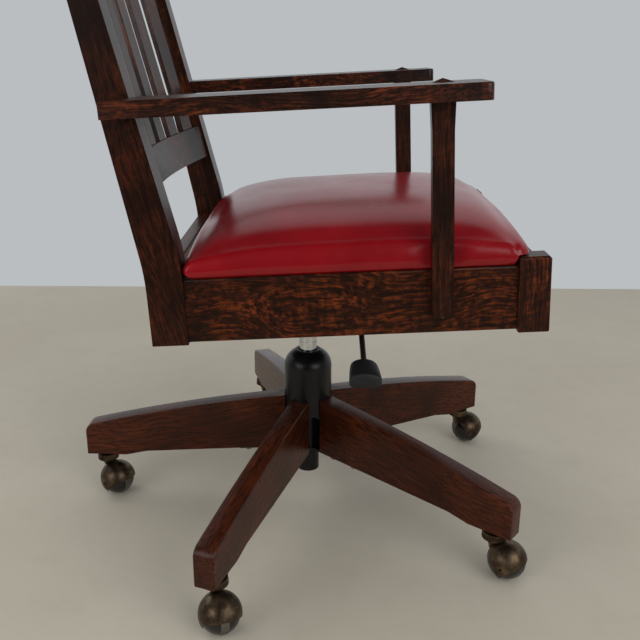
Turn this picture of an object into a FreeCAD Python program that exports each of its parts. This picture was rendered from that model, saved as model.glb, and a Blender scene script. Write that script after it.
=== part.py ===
import FreeCAD, Part
import math
import os
import re
import Sketcher

V = FreeCAD.Vector
doc = FreeCAD.newDocument("office_chair")

# Driving dimensions, in millimetres, and angles in degrees.
# The chair faces -Y, the sitter's right is -X, and the origin is on the floor under the column.
SIZES = [
    # the seat frame: its height at the column, and its backward rake
    ("rail_base_height", 366.0),
    ("seat_rake", 2.9),
    ("rail_outer", 235.5),
    ("rail_thickness", 20.0),
    ("rail_height", 83.0),
    ("rail_edge", 2.5),
    ("block_front", 306.0),
    ("block_width", 32.0),
    ("block_depth", 39.0),
    ("block_proud", 4.8),
    ("block_rise", 11.5),
    ("block_drop", 3.5),
    ("block_chamfer", 2.5),
    ("rear_rail_setback", 21.0),
    ("corner_block_leg", 46.0),
    ("corner_block_foot", 15.0),
    ("batten_width", 24.0),
    ("batten_place", 60.0),
    ("board_thickness", 12.0),
    ("board_gap", 1.0),
    # the rear posts, sawn with a bend above the rails
    ("post_outer", 238.4),
    ("post_thickness", 39.0),
    ("post_foot_front", 148.5),
    ("post_foot_depth", 46.5),
    ("post_drop", 2.5),
    ("post_front_bend", 106.0),
    ("post_rear_bend", 91.0),
    ("back_rake", 11.4),
    ("post_rear_rake", 8.9),
    ("post_top", 600.0),
    ("post_bend_radius", 300.0),
    ("post_edge", 1.5),
    # the back: rails and slats on an arc
    ("back_middle_height", 208.5),
    ("back_setback", 3.7),
    ("back_sag", 36.9),
    ("back_rail_thickness", 20.0),
    ("lower_rail_height", 53.4),
    ("upper_rail_height", 76.0),
    ("upper_rail_drop", 10.0),
    ("slat_count", 7.0),
    ("slat_width", 33.0),
    ("slat_thickness", 7.9),
    ("slat_pitch", 55.1),
    ("slat_setback", 1.9),
    # the arms and their posts
    ("arm_top", 305.5),
    ("arm_thickness", 19.5),
    ("arm_outer", 289.5),
    ("arm_inner", 212.0),
    ("arm_front", 223.0),
    ("arm_rear", 213.0),
    ("arm_corner", 8.0),
    ("arm_edge", 1.5),
    ("arm_post_thickness", 15.4),
    ("arm_post_width", 26.0),
    ("arm_post_place", 172.5),
    ("arm_post_foot", 25.0),
    ("arm_post_flare", 1.5),
    ("arm_post_flare_height", 34.0),
    ("arm_post_cap", 4.5),
    # the cushion
    ("cushion_half_width", 239.0),
    ("cushion_front", 288.0),
    ("cushion_rear", 146.0),
    ("cushion_edge_height", 122.0),
    ("cushion_crown", 155.0),
    ("cushion_extra_crown", 4.0),
    ("cushion_corner", 26.0),
    ("soft_gap", 0.4),
    # the column
    ("column_radius", 18.0),
    ("column_wall", 2.0),
    ("column_foot", 51.0),
    ("column_floor", 4.0),
    ("column_top", 236.0),
    ("bush_length", 84.0),
    ("bush_flange", 3.0),
    ("lift_radius", 14.0),
    ("lift_wall", 1.6),
    ("lift_foot", 110.0),
    ("lift_foot_seal", 12.0),
    ("lift_rise", 30.0),
    ("lift_ring_drop", 71.0),
    ("lift_ring_depth", 0.5),
    ("lift_ring_width", 1.4),
    ("taper_length", 30.0),
    ("taper_drop", 0.8),
    ("rod_radius", 5.0),
    ("running_gap", 0.05),
    ("rod_collar_radius", 9.0),
    ("rod_collar_height", 2.0),
    ("piston_height", 215.0),
    ("piston_length", 10.0),
    ("piston_gap", 0.3),
    ("bearing_radius", 12.0),
    ("washer_thickness", 1.5),
    ("race_radius", 11.0),
    ("race_height", 3.6),
    ("clip_radius", 9.0),
    ("clip_thickness", 1.6),
    ("clip_gap", 0.3),
    ("rod_tail", 4.0),
    ("release_pin_radius", 3.0),
    ("release_pin_rise", 4.5),
    ("release_pin_length", 9.0),
    # the hub cover
    ("cover_radius", 37.6),
    ("cover_wall", 2.4),
    ("cover_foot", 157.0),
    ("cover_shoulder", 233.0),
    ("cover_top", 261.0),
    ("cover_mouth", 15.0),
    ("cover_dome_radius", 28.0),
    ("cover_collar", 4.0),
    ("cover_collar_height", 2.0),
    # the spider's webs and feet
    ("web_thickness", 5.0),
    ("web_length", 112.0),
    ("web_height", 46.0),
    ("web_gap", 0.2),
    ("foot_width", 22.0),
    ("foot_thickness", 3.0),
    # the wooden spokes
    ("first_spoke_angle", 160.2),
    ("spoke_count", 5.0),
    ("spoke_width", 30.0),
    ("spoke_inner", 36.0),
    ("spoke_reach", 368.0),
    ("spoke_root_foot", 94.0),
    ("spoke_root_top", 184.0),
    ("spoke_pad_height", 70.0),
    ("spoke_pad_length", 65.0),
    ("spoke_rise_run", 41.0),
    ("spoke_rise_height", 79.0),
    ("spoke_end_top", 122.5),
    ("spoke_end_round", 16.0),
    ("spoke_top_sag", 5.4),
    ("spoke_edge", 1.6),
    ("cover_seat_gap", 0.5),
    ("screw_radius", 2.5),
    ("screw_head_radius", 4.6),
    ("screw_head_height", 2.6),
    ("screw_length", 20.0),
    ("arm_screw_length", 30.0),
    ("first_screw", 58.0),
    ("second_screw", 98.0),
    # the ball casters: the ball's centre lies behind the stem, at the height of the tread's radius
    ("stem_inset", 30.2),
    ("ball_offset", 20.6),
    ("tread_radius", 27.2),
    ("tread_half_width", 5.5),
    ("wheel_radius", 26.7),
    ("wheel_half_width", 24.5),
    ("hood_radius", 28.8),
    ("hood_inner_radius", 27.7),
    ("mouth_radius", 58.6),
    ("mouth_behind", 49.0),
    ("mouth_below", 49.3),
    ("opening_slant_top", 27.6),
    ("opening_slant_foot", 1.6),
    ("opening_slant_reach", 30.0),
    ("tongue_drop", 19.4),
    ("axle_radius", 2.3),
    ("axle_recess", 0.8),
    ("neck_foot", 40.0),
    ("neck_waist", 6.0),
    ("neck_radius", 15.8),
    ("neck_height", 58.0),
    ("neck_sweep", 24.0),
    ("collar_step", 0.8),
    ("neck_ring", 0.6),
    ("neck_ring_height", 1.6),
    ("neck_ring_pitch", 3.4),
    ("neck_gap", 0.6),
    ("stem_radius", 4.0),
    ("stem_rise", 110.0),
    ("stem_foot", 50.0),
    ("socket_radius", 6.0),
    ("socket_flange", 9.0),
    ("socket_flange_thickness", 1.5),
    ("socket_length", 44.0),
    # the heading in which each ball trails its stem, seen from above
    ("trail_angle_1", 201.2),
    ("trail_angle_2", 240.0),
    ("trail_angle_3", 291.3),
    ("trail_angle_4", 262.0),
    ("trail_angle_5", 233.5),
    # the tilt mechanism
    ("tray_half_width", 55.0),
    ("tray_front", 98.0),
    ("tray_rear", 72.0),
    ("tray_drop", 50.0),
    ("tray_wall", 3.0),
    ("tray_front_height", 38.0),
    ("tray_rear_height", 15.0),
    ("tray_slope_start", 14.0),
    ("boss_radius", 19.0),
    ("boss_height", 26.0),
    ("tilt_pin_place", 30.0),
    ("tilt_pin_rise", 20.0),
    ("tilt_pin_radius", 5.0),
    ("tilt_pin_head", 8.0),
    ("tilt_pin_head_thickness", 3.0),
    ("ear_thickness", 4.0),
    ("ear_gap", 1.0),
    ("ear_radius", 10.0),
    ("ear_root", 26.0),
    ("plate_half_width", 78.0),
    ("plate_front", 110.0),
    ("plate_rear", 92.0),
    ("plate_thickness", 4.0),
    ("spring_place", 48.0),
    ("spring_radius", 12.0),
    ("spring_wire", 3.0),
    ("spring_turns", 4.0),
    ("spring_runs", 12.0),
    ("spring_wire_sides", 5.0),
    ("knob_radius", 14.0),
    ("knob_height", 13.0),
    ("knob_gap", 1.0),
    ("knob_flutes", 8.0),
    ("bolt_radius", 4.0),
    ("bolt_rise", 18.0),
    # the height lever
    ("lever_place", 78.0),
    ("lever_radius", 4.0),
    ("finger_inset", 1.5),
    ("lever_fall", 37.5),
    ("lever_outer_end", 214.0),
    ("lever_pivot", 40.0),
    ("lever_pin_radius", 2.5),
    ("lever_pin_half_length", 10.0),
    ("lever_ear_gap", 0.8),
    ("lever_ear_thickness", 3.0),
    ("lever_ear_half_width", 7.0),
    ("lever_slot", 13.0),
    ("finger_width", 10.0),
    ("finger_thickness", 4.0),
    ("finger_overhang", 6.0),
    ("finger_gap", 0.5),
    ("paddle_start", 188.0),
    ("paddle_end", 243.0),
    ("paddle_width", 42.0),
    ("paddle_thickness", 21.0),
    ("paddle_drop", 4.0),
    ("paddle_corner", 11.0),
    ("paddle_edge", 4.0),
    ("overrun", 5.0),
]

# Places that follow from the sizes.
DERIVED = {
    "spoke_pad_start": "(spoke_reach - spoke_pad_length)",
    "spoke_rise_start": "(spoke_reach - spoke_pad_length - spoke_rise_run)",
    "stem_circle": "(spoke_reach - stem_inset)",
    "collar_top": "(spoke_pad_height - socket_flange_thickness - neck_gap)",
    "tray_foot": "(rail_base_height - tray_drop)",
    "tilt_pin_height": "(rail_base_height - tray_drop + tilt_pin_rise)",
    "lift_top": "(rail_base_height - tray_drop + lift_rise)",
    "lift_ring_height": "(rail_base_height - tray_drop + lift_rise - lift_ring_drop)",
    "finger_foot": "(rail_base_height - tray_drop + lift_rise + release_pin_rise + finger_gap)",
    "lever_inner_height": "(rail_base_height - tray_drop + lift_rise + release_pin_rise + finger_gap"
                          " - finger_inset)",
}

# The sketcher's codes for a curve's start, end and centre.
START = 1
END = 2
CENTRE = 3

sheet = doc.addObject("Spreadsheet::Sheet", "dims")
ALIASES = []


def write_size(alias, value):
    """One line of the sheet: the name, and the plain number that carries it as an alias."""
    row = len(ALIASES) + 1
    sheet.set("A%d" % row, alias)
    sheet.set("B%d" % row, str(value))
    sheet.setAlias("B%d" % row, alias)
    ALIASES.append(alias)


for size_name, size_value in SIZES:
    write_size(size_name, size_value)
doc.recompute()

WORD = re.compile(r"[a-z][a-z_0-9]*")


def ref(text):
    """The same expression with each size looked up in the sheet, and derived places written out."""
    text = WORD.sub(lambda m: DERIVED.get(m.group(0), m.group(0)), text)
    return WORD.sub(lambda m: "dims." + m.group(0) if m.group(0) in ALIASES else m.group(0), text)


def num(text):
    """The value of an expression of the sheet's sizes."""
    value = sheet.evalExpression(ref(text).replace("dims.", ""))
    return float(getattr(value, "Value", value))


def bind(item, **links):
    """Binds properties to expressions; two underscores stand for a dot in the property's path."""
    for path, text in links.items():
        item.setExpression(path.replace("__", "."), ref(text))


def feature(kind, name, **links):
    item = doc.addObject(kind, name)
    bind(item, **links)
    return item


NODES = []


def node(item, label):
    """Names a finished sub-part and lists it for writing."""
    item.Label = label
    NODES.append(item)
    return item


def in_seat(item):
    """Places a sub-part that is modelled level: the seat frame leans back about the column."""
    item.Placement = FreeCAD.Placement(V(0, 0, 0), FreeCAD.Rotation(V(-1, 0, 0), num("seat_rake")))
    bind(item, Placement__Base__z="rail_base_height", Placement__Rotation__Angle="seat_rake")
    return item


BACK_Y = "(post_foot_front + (back_middle_height - post_front_bend) * tan(back_rake))"


def in_back(item):
    """Places a sub-part of the back, modelled upright with its foot at the middle of the lower rail."""
    lean = num("seat_rake + back_rake")
    item.Placement = FreeCAD.Placement(V(0, 0, 0), FreeCAD.Rotation(V(-1, 0, 0), lean))
    bind(
        item,
        Placement__Base__y=BACK_Y + " * cos(seat_rake) + back_middle_height * sin(seat_rake)",
        Placement__Base__z="rail_base_height + back_middle_height * cos(seat_rake) - "
        + BACK_Y + " * sin(seat_rake)",
        Placement__Rotation__Angle="seat_rake + back_rake",
    )
    return item


def turned(item, angle):
    """Turns a sub-part about the column by an angle given as an expression."""
    item.Placement = FreeCAD.Placement(V(0, 0, 0), FreeCAD.Rotation(V(0, 0, 1), num(angle)))
    bind(item, Placement__Rotation__Angle=angle)
    return item


# Sketches and the features that use them.

def origin_plane(body, role):
    return [f for f in body.Origin.OriginFeatures if f.Role == role][0]


def arc_between(start, end, radius, side):
    """The shorter arc of a radius from start to end, bulging to the left (1) or right (-1) of the way."""
    chord = end - start
    half = chord.Length / 2.0
    depth = math.sqrt(max(radius * radius - half * half, 0.0))
    normal = V(-chord.y, chord.x, 0)
    normal.normalize()
    centre = (start + end) * 0.5 - normal * (depth * side)
    first, last = (start, end) if side < 0 else (end, start)
    angles = [math.atan2(p.y - centre.y, p.x - centre.x) for p in (first, last)]
    if angles[1] < angles[0]:
        angles[1] += 2.0 * math.pi
    return Part.ArcOfCircle(Part.Circle(centre, V(0, 0, 1), radius), angles[0], angles[1])


def sketch(body, name, plane, points, shift=None):
    """A closed outline on one of the body's planes.

    Each point is a pair of expressions, with a third item of (radius, side) where the way to the
    next point is an arc.
    """
    made = body.newObject("Sketcher::SketchObject", name)
    made.AttachmentSupport = [(origin_plane(body, plane), "")]
    made.MapMode = "FlatFace"
    if shift:
        bind(made, AttachmentOffset__Base__z=shift)
    corners = [V(num(p[0]), num(p[1]), 0) for p in points]
    count = len(points)
    for i, point in enumerate(points):
        start = corners[i]
        end = corners[(i + 1) % count]
        if len(point) > 2:
            made.addGeometry(arc_between(start, end, num(point[2][0]), point[2][1]))
        else:
            made.addGeometry(Part.LineSegment(start, end))
    ends = [(END, START) if len(point) > 2 and point[2][1] > 0 else (START, END) for point in points]
    for i, point in enumerate(points):
        after = (i + 1) % count
        made.addConstraint(Sketcher.Constraint("Coincident", i, ends[i][1], after, ends[after][0]))
    for i, point in enumerate(points):
        place(made, i, ends[i][0], point[0], point[1])
        if len(point) > 2:
            index = made.addConstraint(Sketcher.Constraint("Radius", i, num(point[2][0])))
            made.setExpression("Constraints[%d]" % index, ref(point[2][0]))
    return made


def place(made, geometry, corner, across, up):
    """Holds a sketch point at its distances from the origin."""
    for kind, text in (("DistanceX", across), ("DistanceY", up)):
        index = made.addConstraint(Sketcher.Constraint(kind, -1, START, geometry, corner, num(text)))
        made.setExpression("Constraints[%d]" % index, ref(text))


def circle_sketch(body, name, plane, centre, radius, shift=None):
    made = body.newObject("Sketcher::SketchObject", name)
    made.AttachmentSupport = [(origin_plane(body, plane), "")]
    made.MapMode = "FlatFace"
    if shift:
        bind(made, AttachmentOffset__Base__z=shift)
    made.addGeometry(Part.Circle(V(num(centre[0]), num(centre[1]), 0), V(0, 0, 1), num(radius)))
    place(made, 0, CENTRE, centre[0], centre[1])
    index = made.addConstraint(Sketcher.Constraint("Radius", 0, num(radius)))
    made.setExpression("Constraints[%d]" % index, ref(radius))
    return made


def new_body(name):
    return doc.addObject("PartDesign::Body", name)


def pad(body, outline, length, name="Pad", back=False):
    made = body.newObject("PartDesign::Pad", name)
    made.Profile = outline
    made.Reversed = back
    bind(made, Length=length)
    doc.recompute()
    return made


def pocket(body, outline, length, back=False):
    """Cuts along the sketch's normal, and makes sure that something was cut."""
    before = body.Shape.Volume
    made = body.newObject("PartDesign::Pocket", "Pocket")
    made.Profile = outline
    made.Reversed = back
    bind(made, Length=length)
    doc.recompute()
    if body.Shape.Volume >= before:
        raise RuntimeError("a pocket of %s cuts nothing" % body.Name)
    return made


def revolved(body, outline, axis="V_Axis"):
    made = body.newObject("PartDesign::Revolution", "Revolution")
    made.Profile = outline
    made.ReferenceAxis = (outline, [axis])
    made.Angle = 360.0
    doc.recompute()
    return made


def edges_where(shape, test):
    """Names of the edges whose two ends and middle all pass a test."""
    names = []
    for i, edge in enumerate(shape.Edges):
        ends = [v.Point for v in edge.Vertexes]
        middle = edge.valueAt((edge.FirstParameter + edge.LastParameter) / 2.0)
        if all(test(p) for p in ends + [middle]):
            names.append("Edge%d" % (i + 1))
    return names


def dress(body, kind, size, test):
    """A fillet or chamfer of the body's edges that pass a test."""
    base = body.Tip
    names = edges_where(base.Shape, test)
    if not names:
        raise RuntimeError("no edges to dress on %s" % body.Name)
    made = body.newObject("PartDesign::" + kind, kind)
    made.Base = (base, names)
    bind(made, **{"Radius" if kind == "Fillet" else "Size": size})
    doc.recompute()
    return made


def near(value, text):
    return abs(value - num(text)) < num("web_gap") / 10.0


def box(name, x, y, z, length, width, height):
    return feature(
        "Part::Box", name, Length=length, Width=width, Height=height,
        Placement__Base__x=x, Placement__Base__y=y, Placement__Base__z=z,
    )


def cylinder(name, radius, height, x="0", y="0", z="0"):
    return feature(
        "Part::Cylinder", name, Radius=radius, Height=height,
        Placement__Base__x=x, Placement__Base__y=y, Placement__Base__z=z,
    )


def joined(name, *items):
    made = doc.addObject("Part::MultiFuse", name)
    made.Shapes = list(items)
    return made


def cut(name, base, *tools):
    made = doc.addObject("Part::Cut", name)
    made.Base = base
    made.Tool = tools[0] if len(tools) == 1 else joined(name + "Tools", *tools)
    return made


def solid_feature(label, shape):
    """A sub-part whose shape is worked out directly from the sheet's sizes."""
    return node(plain_feature(label, shape), label)


def plain_feature(name, shape):
    made = doc.addObject("Part::Feature", name)
    made.Shape = shape
    return made


def grouped(name, *items):
    """Separate solids kept together as one object."""
    made = doc.addObject("Part::Compound", name)
    made.Links = list(items)
    return made


# The seat frame.

def side_rail(label, sign):
    """A rail on edge, from the front block to the rear post; its outer long edges are eased."""
    body = new_body("SideRail")
    outer = "rail_outer" if sign > 0 else "-rail_outer"
    inner = "rail_outer - rail_thickness" if sign > 0 else "rail_thickness - rail_outer"
    outline = sketch(
        body, "Section", "XZ_Plane",
        [(inner, "0"), (outer, "0"), (outer, "rail_height"), (inner, "rail_height")],
        shift="block_front - block_depth",
    )
    pad(body, outline, "block_front - block_depth + post_foot_front", back=True)
    dress(body, "Fillet", "rail_edge", lambda p: near(abs(p.x), "rail_outer") and near(p.z, "rail_height"))
    dress(body, "Fillet", "rail_edge", lambda p: near(abs(p.x), "rail_outer") and near(p.z, "0"))
    return node(in_seat(cut("Bored", body, SEAT_SCREWS)), label)


def cross_rail(label, half_length, front):
    """The front or rear rail, a board on edge between the blocks or the posts."""
    board = box("Board", "-(" + half_length + ")", front, "0", "2 * (" + half_length + ")",
                "rail_thickness", "rail_height")
    eased = doc.addObject("Part::Fillet", "Eased")
    doc.recompute()
    eased.Base = board
    top = [i + 1 for i, e in enumerate(board.Shape.Edges)
           if all(near(v.Z, "rail_height") and near(v.Y, front) for v in e.Vertexes)]
    eased.Edges = [(i, num("rail_edge"), num("rail_edge")) for i in top]
    return node(in_seat(eased), label)


BLOCK_INNER = "(rail_outer + block_proud - block_width)"


def front_block(label, sign):
    """A square block that stands proud of the rails, chamfered round its top and foot."""
    body = new_body(label)
    outer = "(rail_outer + block_proud)"
    across = (BLOCK_INNER, outer) if sign > 0 else ("-" + outer, "-" + BLOCK_INNER)
    rear = "block_depth - block_front"
    outline = sketch(
        body, "Plan", "XY_Plane",
        [(across[0], "-block_front"), (across[1], "-block_front"), (across[1], rear), (across[0], rear)],
        shift="-block_drop",
    )
    pad(body, outline, "block_drop + rail_height + block_rise")
    dress(body, "Chamfer", "block_chamfer", lambda p: near(p.z, "rail_height + block_rise"))
    dress(body, "Chamfer", "block_chamfer / 2", lambda p: near(p.z, "-block_drop"))
    return node(in_seat(body), label)


def seat_frame():
    side_rail("side_rail_left", 1)
    side_rail("side_rail_right", -1)
    cross_rail("front_rail", BLOCK_INNER, "block_proud - block_front")
    cross_rail("rear_rail", "post_outer - post_thickness", "post_foot_front + rear_rail_setback")
    front_block("front_block_left", 1)
    front_block("front_block_right", -1)


def corner_block(across, front):
    """A glue block with its corner cut back to clear the front block or the rear post."""
    inner = num("rail_outer - rail_thickness") * across
    leg = num("corner_block_leg")
    if front:
        wall = num("block_proud + rail_thickness - block_front")
        notch_x = num(BLOCK_INNER) * across
        notch_y = num("block_depth - block_front")
        step = leg
    else:
        wall = num("post_foot_front + rear_rail_setback")
        notch_x = num("post_outer - post_thickness") * across
        notch_y = num("post_foot_front")
        step = -leg
    points = [
        V(inner, notch_y, 0), V(inner, notch_y + step, 0), V(notch_x - leg * across, wall, 0),
        V(notch_x, wall, 0), V(notch_x, notch_y, 0),
    ]
    face = Part.Face(Part.makePolygon(points + points[:1]))
    height = num("rail_height - board_thickness - corner_block_foot")
    return face.extrude(V(0, 0, height)).translated(V(0, 0, num("corner_block_foot")))


def frame_inside():
    """Glue blocks, battens and the plywood board that the cushion rests on."""
    blocks = [corner_block(across, front) for across in (1, -1) for front in (True, False)]
    bars = []
    for i, place_sign in enumerate(("-", "")):
        bars.append(box("Batten%d" % (i + 1), "rail_thickness - rail_outer",
                        "%sbatten_place - batten_width / 2" % place_sign, "plate_thickness",
                        "2 * (rail_outer - rail_thickness)", "batten_width",
                        "rail_height - board_thickness - plate_thickness"))
    battens = cut("Bored", grouped("Battens", *bars), SEAT_SCREWS)
    corners = plain_feature("CornerBlocks", Part.makeCompound(blocks))
    node(in_seat(grouped("FrameBlocks", corners, battens)), "frame_blocks")

    body = new_body("SeatBoard")
    side = "(rail_outer - rail_thickness - board_gap)"
    front = "(block_proud + rail_thickness + board_gap - block_front)"
    rear = "(post_foot_front + rear_rail_setback - board_gap)"
    block_y = "(block_depth - block_front + board_gap)"
    block_x = "(" + BLOCK_INNER + " - board_gap)"
    post_x = "(post_outer - post_thickness - board_gap)"
    post_y = "(post_foot_front - board_gap)"
    outline = sketch(
        body, "Plan", "XY_Plane",
        [("-" + block_x, front), (block_x, front), (block_x, block_y), (side, block_y), (side, post_y),
         (post_x, post_y), (post_x, rear), ("-" + post_x, rear), ("-" + post_x, post_y), ("-" + side, post_y),
         ("-" + side, block_y), ("-" + block_x, block_y)],
        shift="rail_height - board_thickness",
    )
    pad(body, outline, "board_thickness")
    node(in_seat(body), "seat_board")


def cushion():
    """A pad crowned both ways, with rounded corners, notched at the front blocks and the arm posts."""
    gap = num("soft_gap")
    low = num("rail_height") + gap
    crown = num("cushion_crown")
    edge = num("cushion_edge_height")
    half = num("cushion_half_width")
    length = num("cushion_front + cushion_rear")
    plan = Part.makeBox(2.0 * half, length, crown, V(-half, -num("cushion_front"), low))
    upright = [e for e in plan.Edges if abs(e.Vertexes[0].Z - e.Vertexes[1].Z) > low]
    shape = plan.makeFillet(num("cushion_corner"), upright)
    for reach, top, start, way in (
        (half, crown, V(0, -length, 0), V(0, 1, 0)),
        (length / 2.0, crown + num("cushion_extra_crown"), V(-length, length / 2.0 - num("cushion_front"), 0),
         V(1, 0, 0)),
    ):
        drop = top - edge
        radius = (reach * reach + drop * drop) / (2.0 * drop)
        shape = shape.common(Part.makeCylinder(radius, 2.0 * length, start + V(0, 0, top - radius), way))
    for sign in (1, -1):
        size_x = num("block_width + overrun") + gap
        low_x = num(BLOCK_INNER) - gap if sign > 0 else gap - num(BLOCK_INNER) - size_x
        shape = shape.cut(Part.makeBox(
            size_x, num("block_depth + overrun") + gap, num("rail_height + block_rise") + gap,
            V(low_x, -num("block_front + overrun"), 0)))
        far = num("rail_outer") - gap if sign > 0 else gap - num("rail_outer") - size_x
        shape = shape.cut(Part.makeBox(
            size_x, num("arm_post_width") + 2.0 * gap, 2.0 * crown,
            V(far, -num("arm_post_place + arm_post_width / 2") - gap, 0)))
    in_seat(solid_feature("seat_cushion", shape))


# The back.

def rear_post(label, sign):
    """A post sawn from thick board: upright beside the rail, then leaning back and thinning upward."""
    body = new_body(label)
    top_front = "post_foot_front + (post_top - post_front_bend) * tan(back_rake)"
    top_rear = "post_foot_front + post_foot_depth + (post_top - post_rear_bend) * tan(post_rear_rake)"
    rear = "post_foot_front + post_foot_depth"
    start = "post_outer - post_thickness" if sign > 0 else "-post_outer"
    outline = sketch(
        body, "Side", "YZ_Plane",
        [("post_foot_front", "-post_drop"), (rear, "-post_drop"), (rear, "post_rear_bend"),
         (top_rear, "post_top"), (top_front, "post_top"), ("post_foot_front", "post_front_bend")],
        shift=start,
    )
    pad(body, outline, "post_thickness")
    dress(body, "Fillet", "post_bend_radius",
          lambda p: near(p.y, "post_foot_front") and near(p.z, "post_front_bend")
          or near(p.y, rear) and near(p.z, "post_rear_bend"))
    dress(body, "Chamfer", "post_edge", lambda p: near(p.z, "post_top"))
    return node(in_seat(body), label)


ARC_RADIUS = "(((post_outer - post_thickness) ^ 2 + back_sag ^ 2) / (2 * back_sag))"
ARC_CENTRE = "(back_setback + back_sag - " + ARC_RADIUS + ")"
UPPER_FOOT = ("((post_top - back_middle_height) / cos(back_rake) - upper_rail_drop"
              " - upper_rail_height)")


def curved_rail(label, foot, height):
    """A rail sawn to an arc, hollow towards the sitter, between the inner faces of the posts."""
    body = new_body(label)
    half = "(post_outer - post_thickness)"
    outline = sketch(
        body, "Plan", "XY_Plane",
        [("-" + half, "back_setback", (ARC_RADIUS, 1)), (half, "back_setback"),
         (half, "back_setback + back_rail_thickness", (ARC_RADIUS, -1)),
         ("-" + half, "back_setback + back_rail_thickness")],
        shift=foot,
    )
    pad(body, outline, height)
    dress(body, "Fillet", "rail_edge / 2", lambda p: near(p.z, foot + " + " + height)
          and abs(p.x) <= num(half) and p.y > num("back_setback") - num("web_gap"))
    return node(in_back(body), label)


def back_slat(label, steps):
    """A flat slat between the curved rails, square to the arc; steps counts pitches from the middle."""
    turn = "(%d * slat_pitch / %s * 180 / pi)" % (steps, ARC_RADIUS)
    reach = "(" + ARC_RADIUS + " + slat_setback)"
    board = box(
        "Slat",
        reach + " * sin(" + turn + ") - slat_width / 2 * cos(" + turn + ")",
        ARC_CENTRE + " + " + reach + " * cos(" + turn + ") + slat_width / 2 * sin(" + turn + ")",
        "lower_rail_height / 2", "slat_width", "slat_thickness", UPPER_FOOT + " - lower_rail_height / 2",
    )
    board.Placement = FreeCAD.Placement(V(0, 0, 0), FreeCAD.Rotation(V(0, 0, -1), num(turn)))
    bind(board, Placement__Rotation__Angle=turn)
    return node(in_back(grouped("Held", board)), label)


def back():
    rear_post("rear_post_left", 1)
    rear_post("rear_post_right", -1)
    curved_rail("lower_back_rail", "-lower_rail_height / 2", "lower_rail_height")
    curved_rail("upper_back_rail", UPPER_FOOT, "upper_rail_height")
    count = int(num("slat_count"))
    for number in range(1, count + 1):
        back_slat("back_slat_%d" % number, number - (count + 1) // 2)


# The arms.

def arm(label, sign):
    """A flat arm, notched round the rear post, with a mortise through which the arm post comes up."""
    body = new_body(label)
    foot = "arm_top - arm_thickness"
    s = "" if sign > 0 else "-"
    corners = [(s + "arm_inner", "-arm_front"), (s + "arm_outer", "-arm_front"),
               (s + "arm_outer", "arm_rear"), (s + "arm_inner", "arm_rear")]
    outline = sketch(body, "Plan", "XY_Plane", corners, shift=foot)
    pad(body, outline, "arm_thickness")
    dress(body, "Fillet", "arm_corner",
          lambda p: near(p.y, "-arm_front") and (near(abs(p.x), "arm_outer") or near(abs(p.x), "arm_inner")))
    # the notch's front follows the leaning face of the post
    rise_low = "(post_foot_front + (arm_top - arm_thickness - overrun - post_front_bend) * tan(back_rake))"
    rise_high = "(post_foot_front + (arm_top + overrun - post_front_bend) * tan(back_rake))"
    notch = sketch(
        body, "Notch", "YZ_Plane",
        [(rise_low, foot + " - overrun"), ("arm_rear + overrun", foot + " - overrun"),
         ("arm_rear + overrun", "arm_top + overrun"), (rise_high, "arm_top + overrun")],
        shift="arm_inner - overrun" if sign > 0 else "-(arm_inner - overrun)",
    )
    pocket(body, notch, "post_outer - arm_inner + overrun", back=sign > 0)
    half = "(arm_post_width / 2)"
    near_side = "rail_outer"
    far_side = "(rail_outer + arm_post_thickness)"
    hole = sketch(
        body, "Mortise", "XY_Plane",
        [(s + near_side, "-arm_post_place - " + half), (s + far_side, "-arm_post_place - " + half),
         (s + far_side, half + " - arm_post_place"), (s + near_side, half + " - arm_post_place")],
        shift="arm_top + overrun",
    )
    pocket(body, hole, "arm_thickness + 2 * overrun")
    dress(body, "Chamfer", "arm_edge",
          lambda p: near(p.z, "arm_top") and (near(abs(p.x), "arm_outer")
                                              or p.y < num("arm_corner - arm_front")))
    return node(in_seat(body), label)


def arm_post(label, sign):
    """A post on the outside of the rail, flared under the arm, through it, and pointed above it."""
    body = new_body("ArmPost")
    start = "rail_outer" if sign > 0 else "-(rail_outer + arm_post_thickness)"
    foot = "arm_post_foot"
    under = "(arm_top - arm_thickness)"
    flare_foot = "(arm_top - arm_thickness - arm_post_flare_height)"
    half = "arm_post_width / 2"
    outline = sketch(
        body, "Face", "YZ_Plane",
        [("-arm_post_place - " + half, foot), (half + " - arm_post_place", foot),
         (half + " - arm_post_place", flare_foot), (half + " + arm_post_flare - arm_post_place", under),
         (half + " - arm_post_place", under), (half + " - arm_post_place", "arm_top"),
         ("-arm_post_place - " + half, "arm_top"), ("-arm_post_place - " + half, under),
         ("-arm_post_place - arm_post_flare - " + half, under), ("-arm_post_place - " + half, flare_foot)],
        shift=start,
    )
    pad(body, outline, "arm_post_thickness")
    x0 = num(start)
    x1 = x0 + num("arm_post_thickness")
    y0 = num("-arm_post_place - " + half)
    y1 = num(half + " - arm_post_place")
    z0 = num("arm_top")
    peak = V((x0 + x1) / 2.0, (y0 + y1) / 2.0, z0 + num("arm_post_cap"))
    base = [V(x0, y0, z0), V(x1, y0, z0), V(x1, y1, z0), V(x0, y1, z0)]
    faces = [Part.Face(Part.makePolygon([base[i], base[(i + 1) % 4], peak, base[i]])) for i in range(4)]
    faces.append(Part.Face(Part.makePolygon(base + base[:1])))
    point = doc.addObject("Part::Feature", "Point")
    point.Shape = Part.makeSolid(Part.makeShell(faces))
    whole = joined("Whole", body, point)
    return node(in_seat(cut("Bored", whole, SEAT_SCREWS)), label)


def arms():
    for side, sign in (("left", 1), ("right", -1)):
        arm("arm_" + side, sign)
        arm_post("arm_post_" + side, sign)


# The base.

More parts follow.
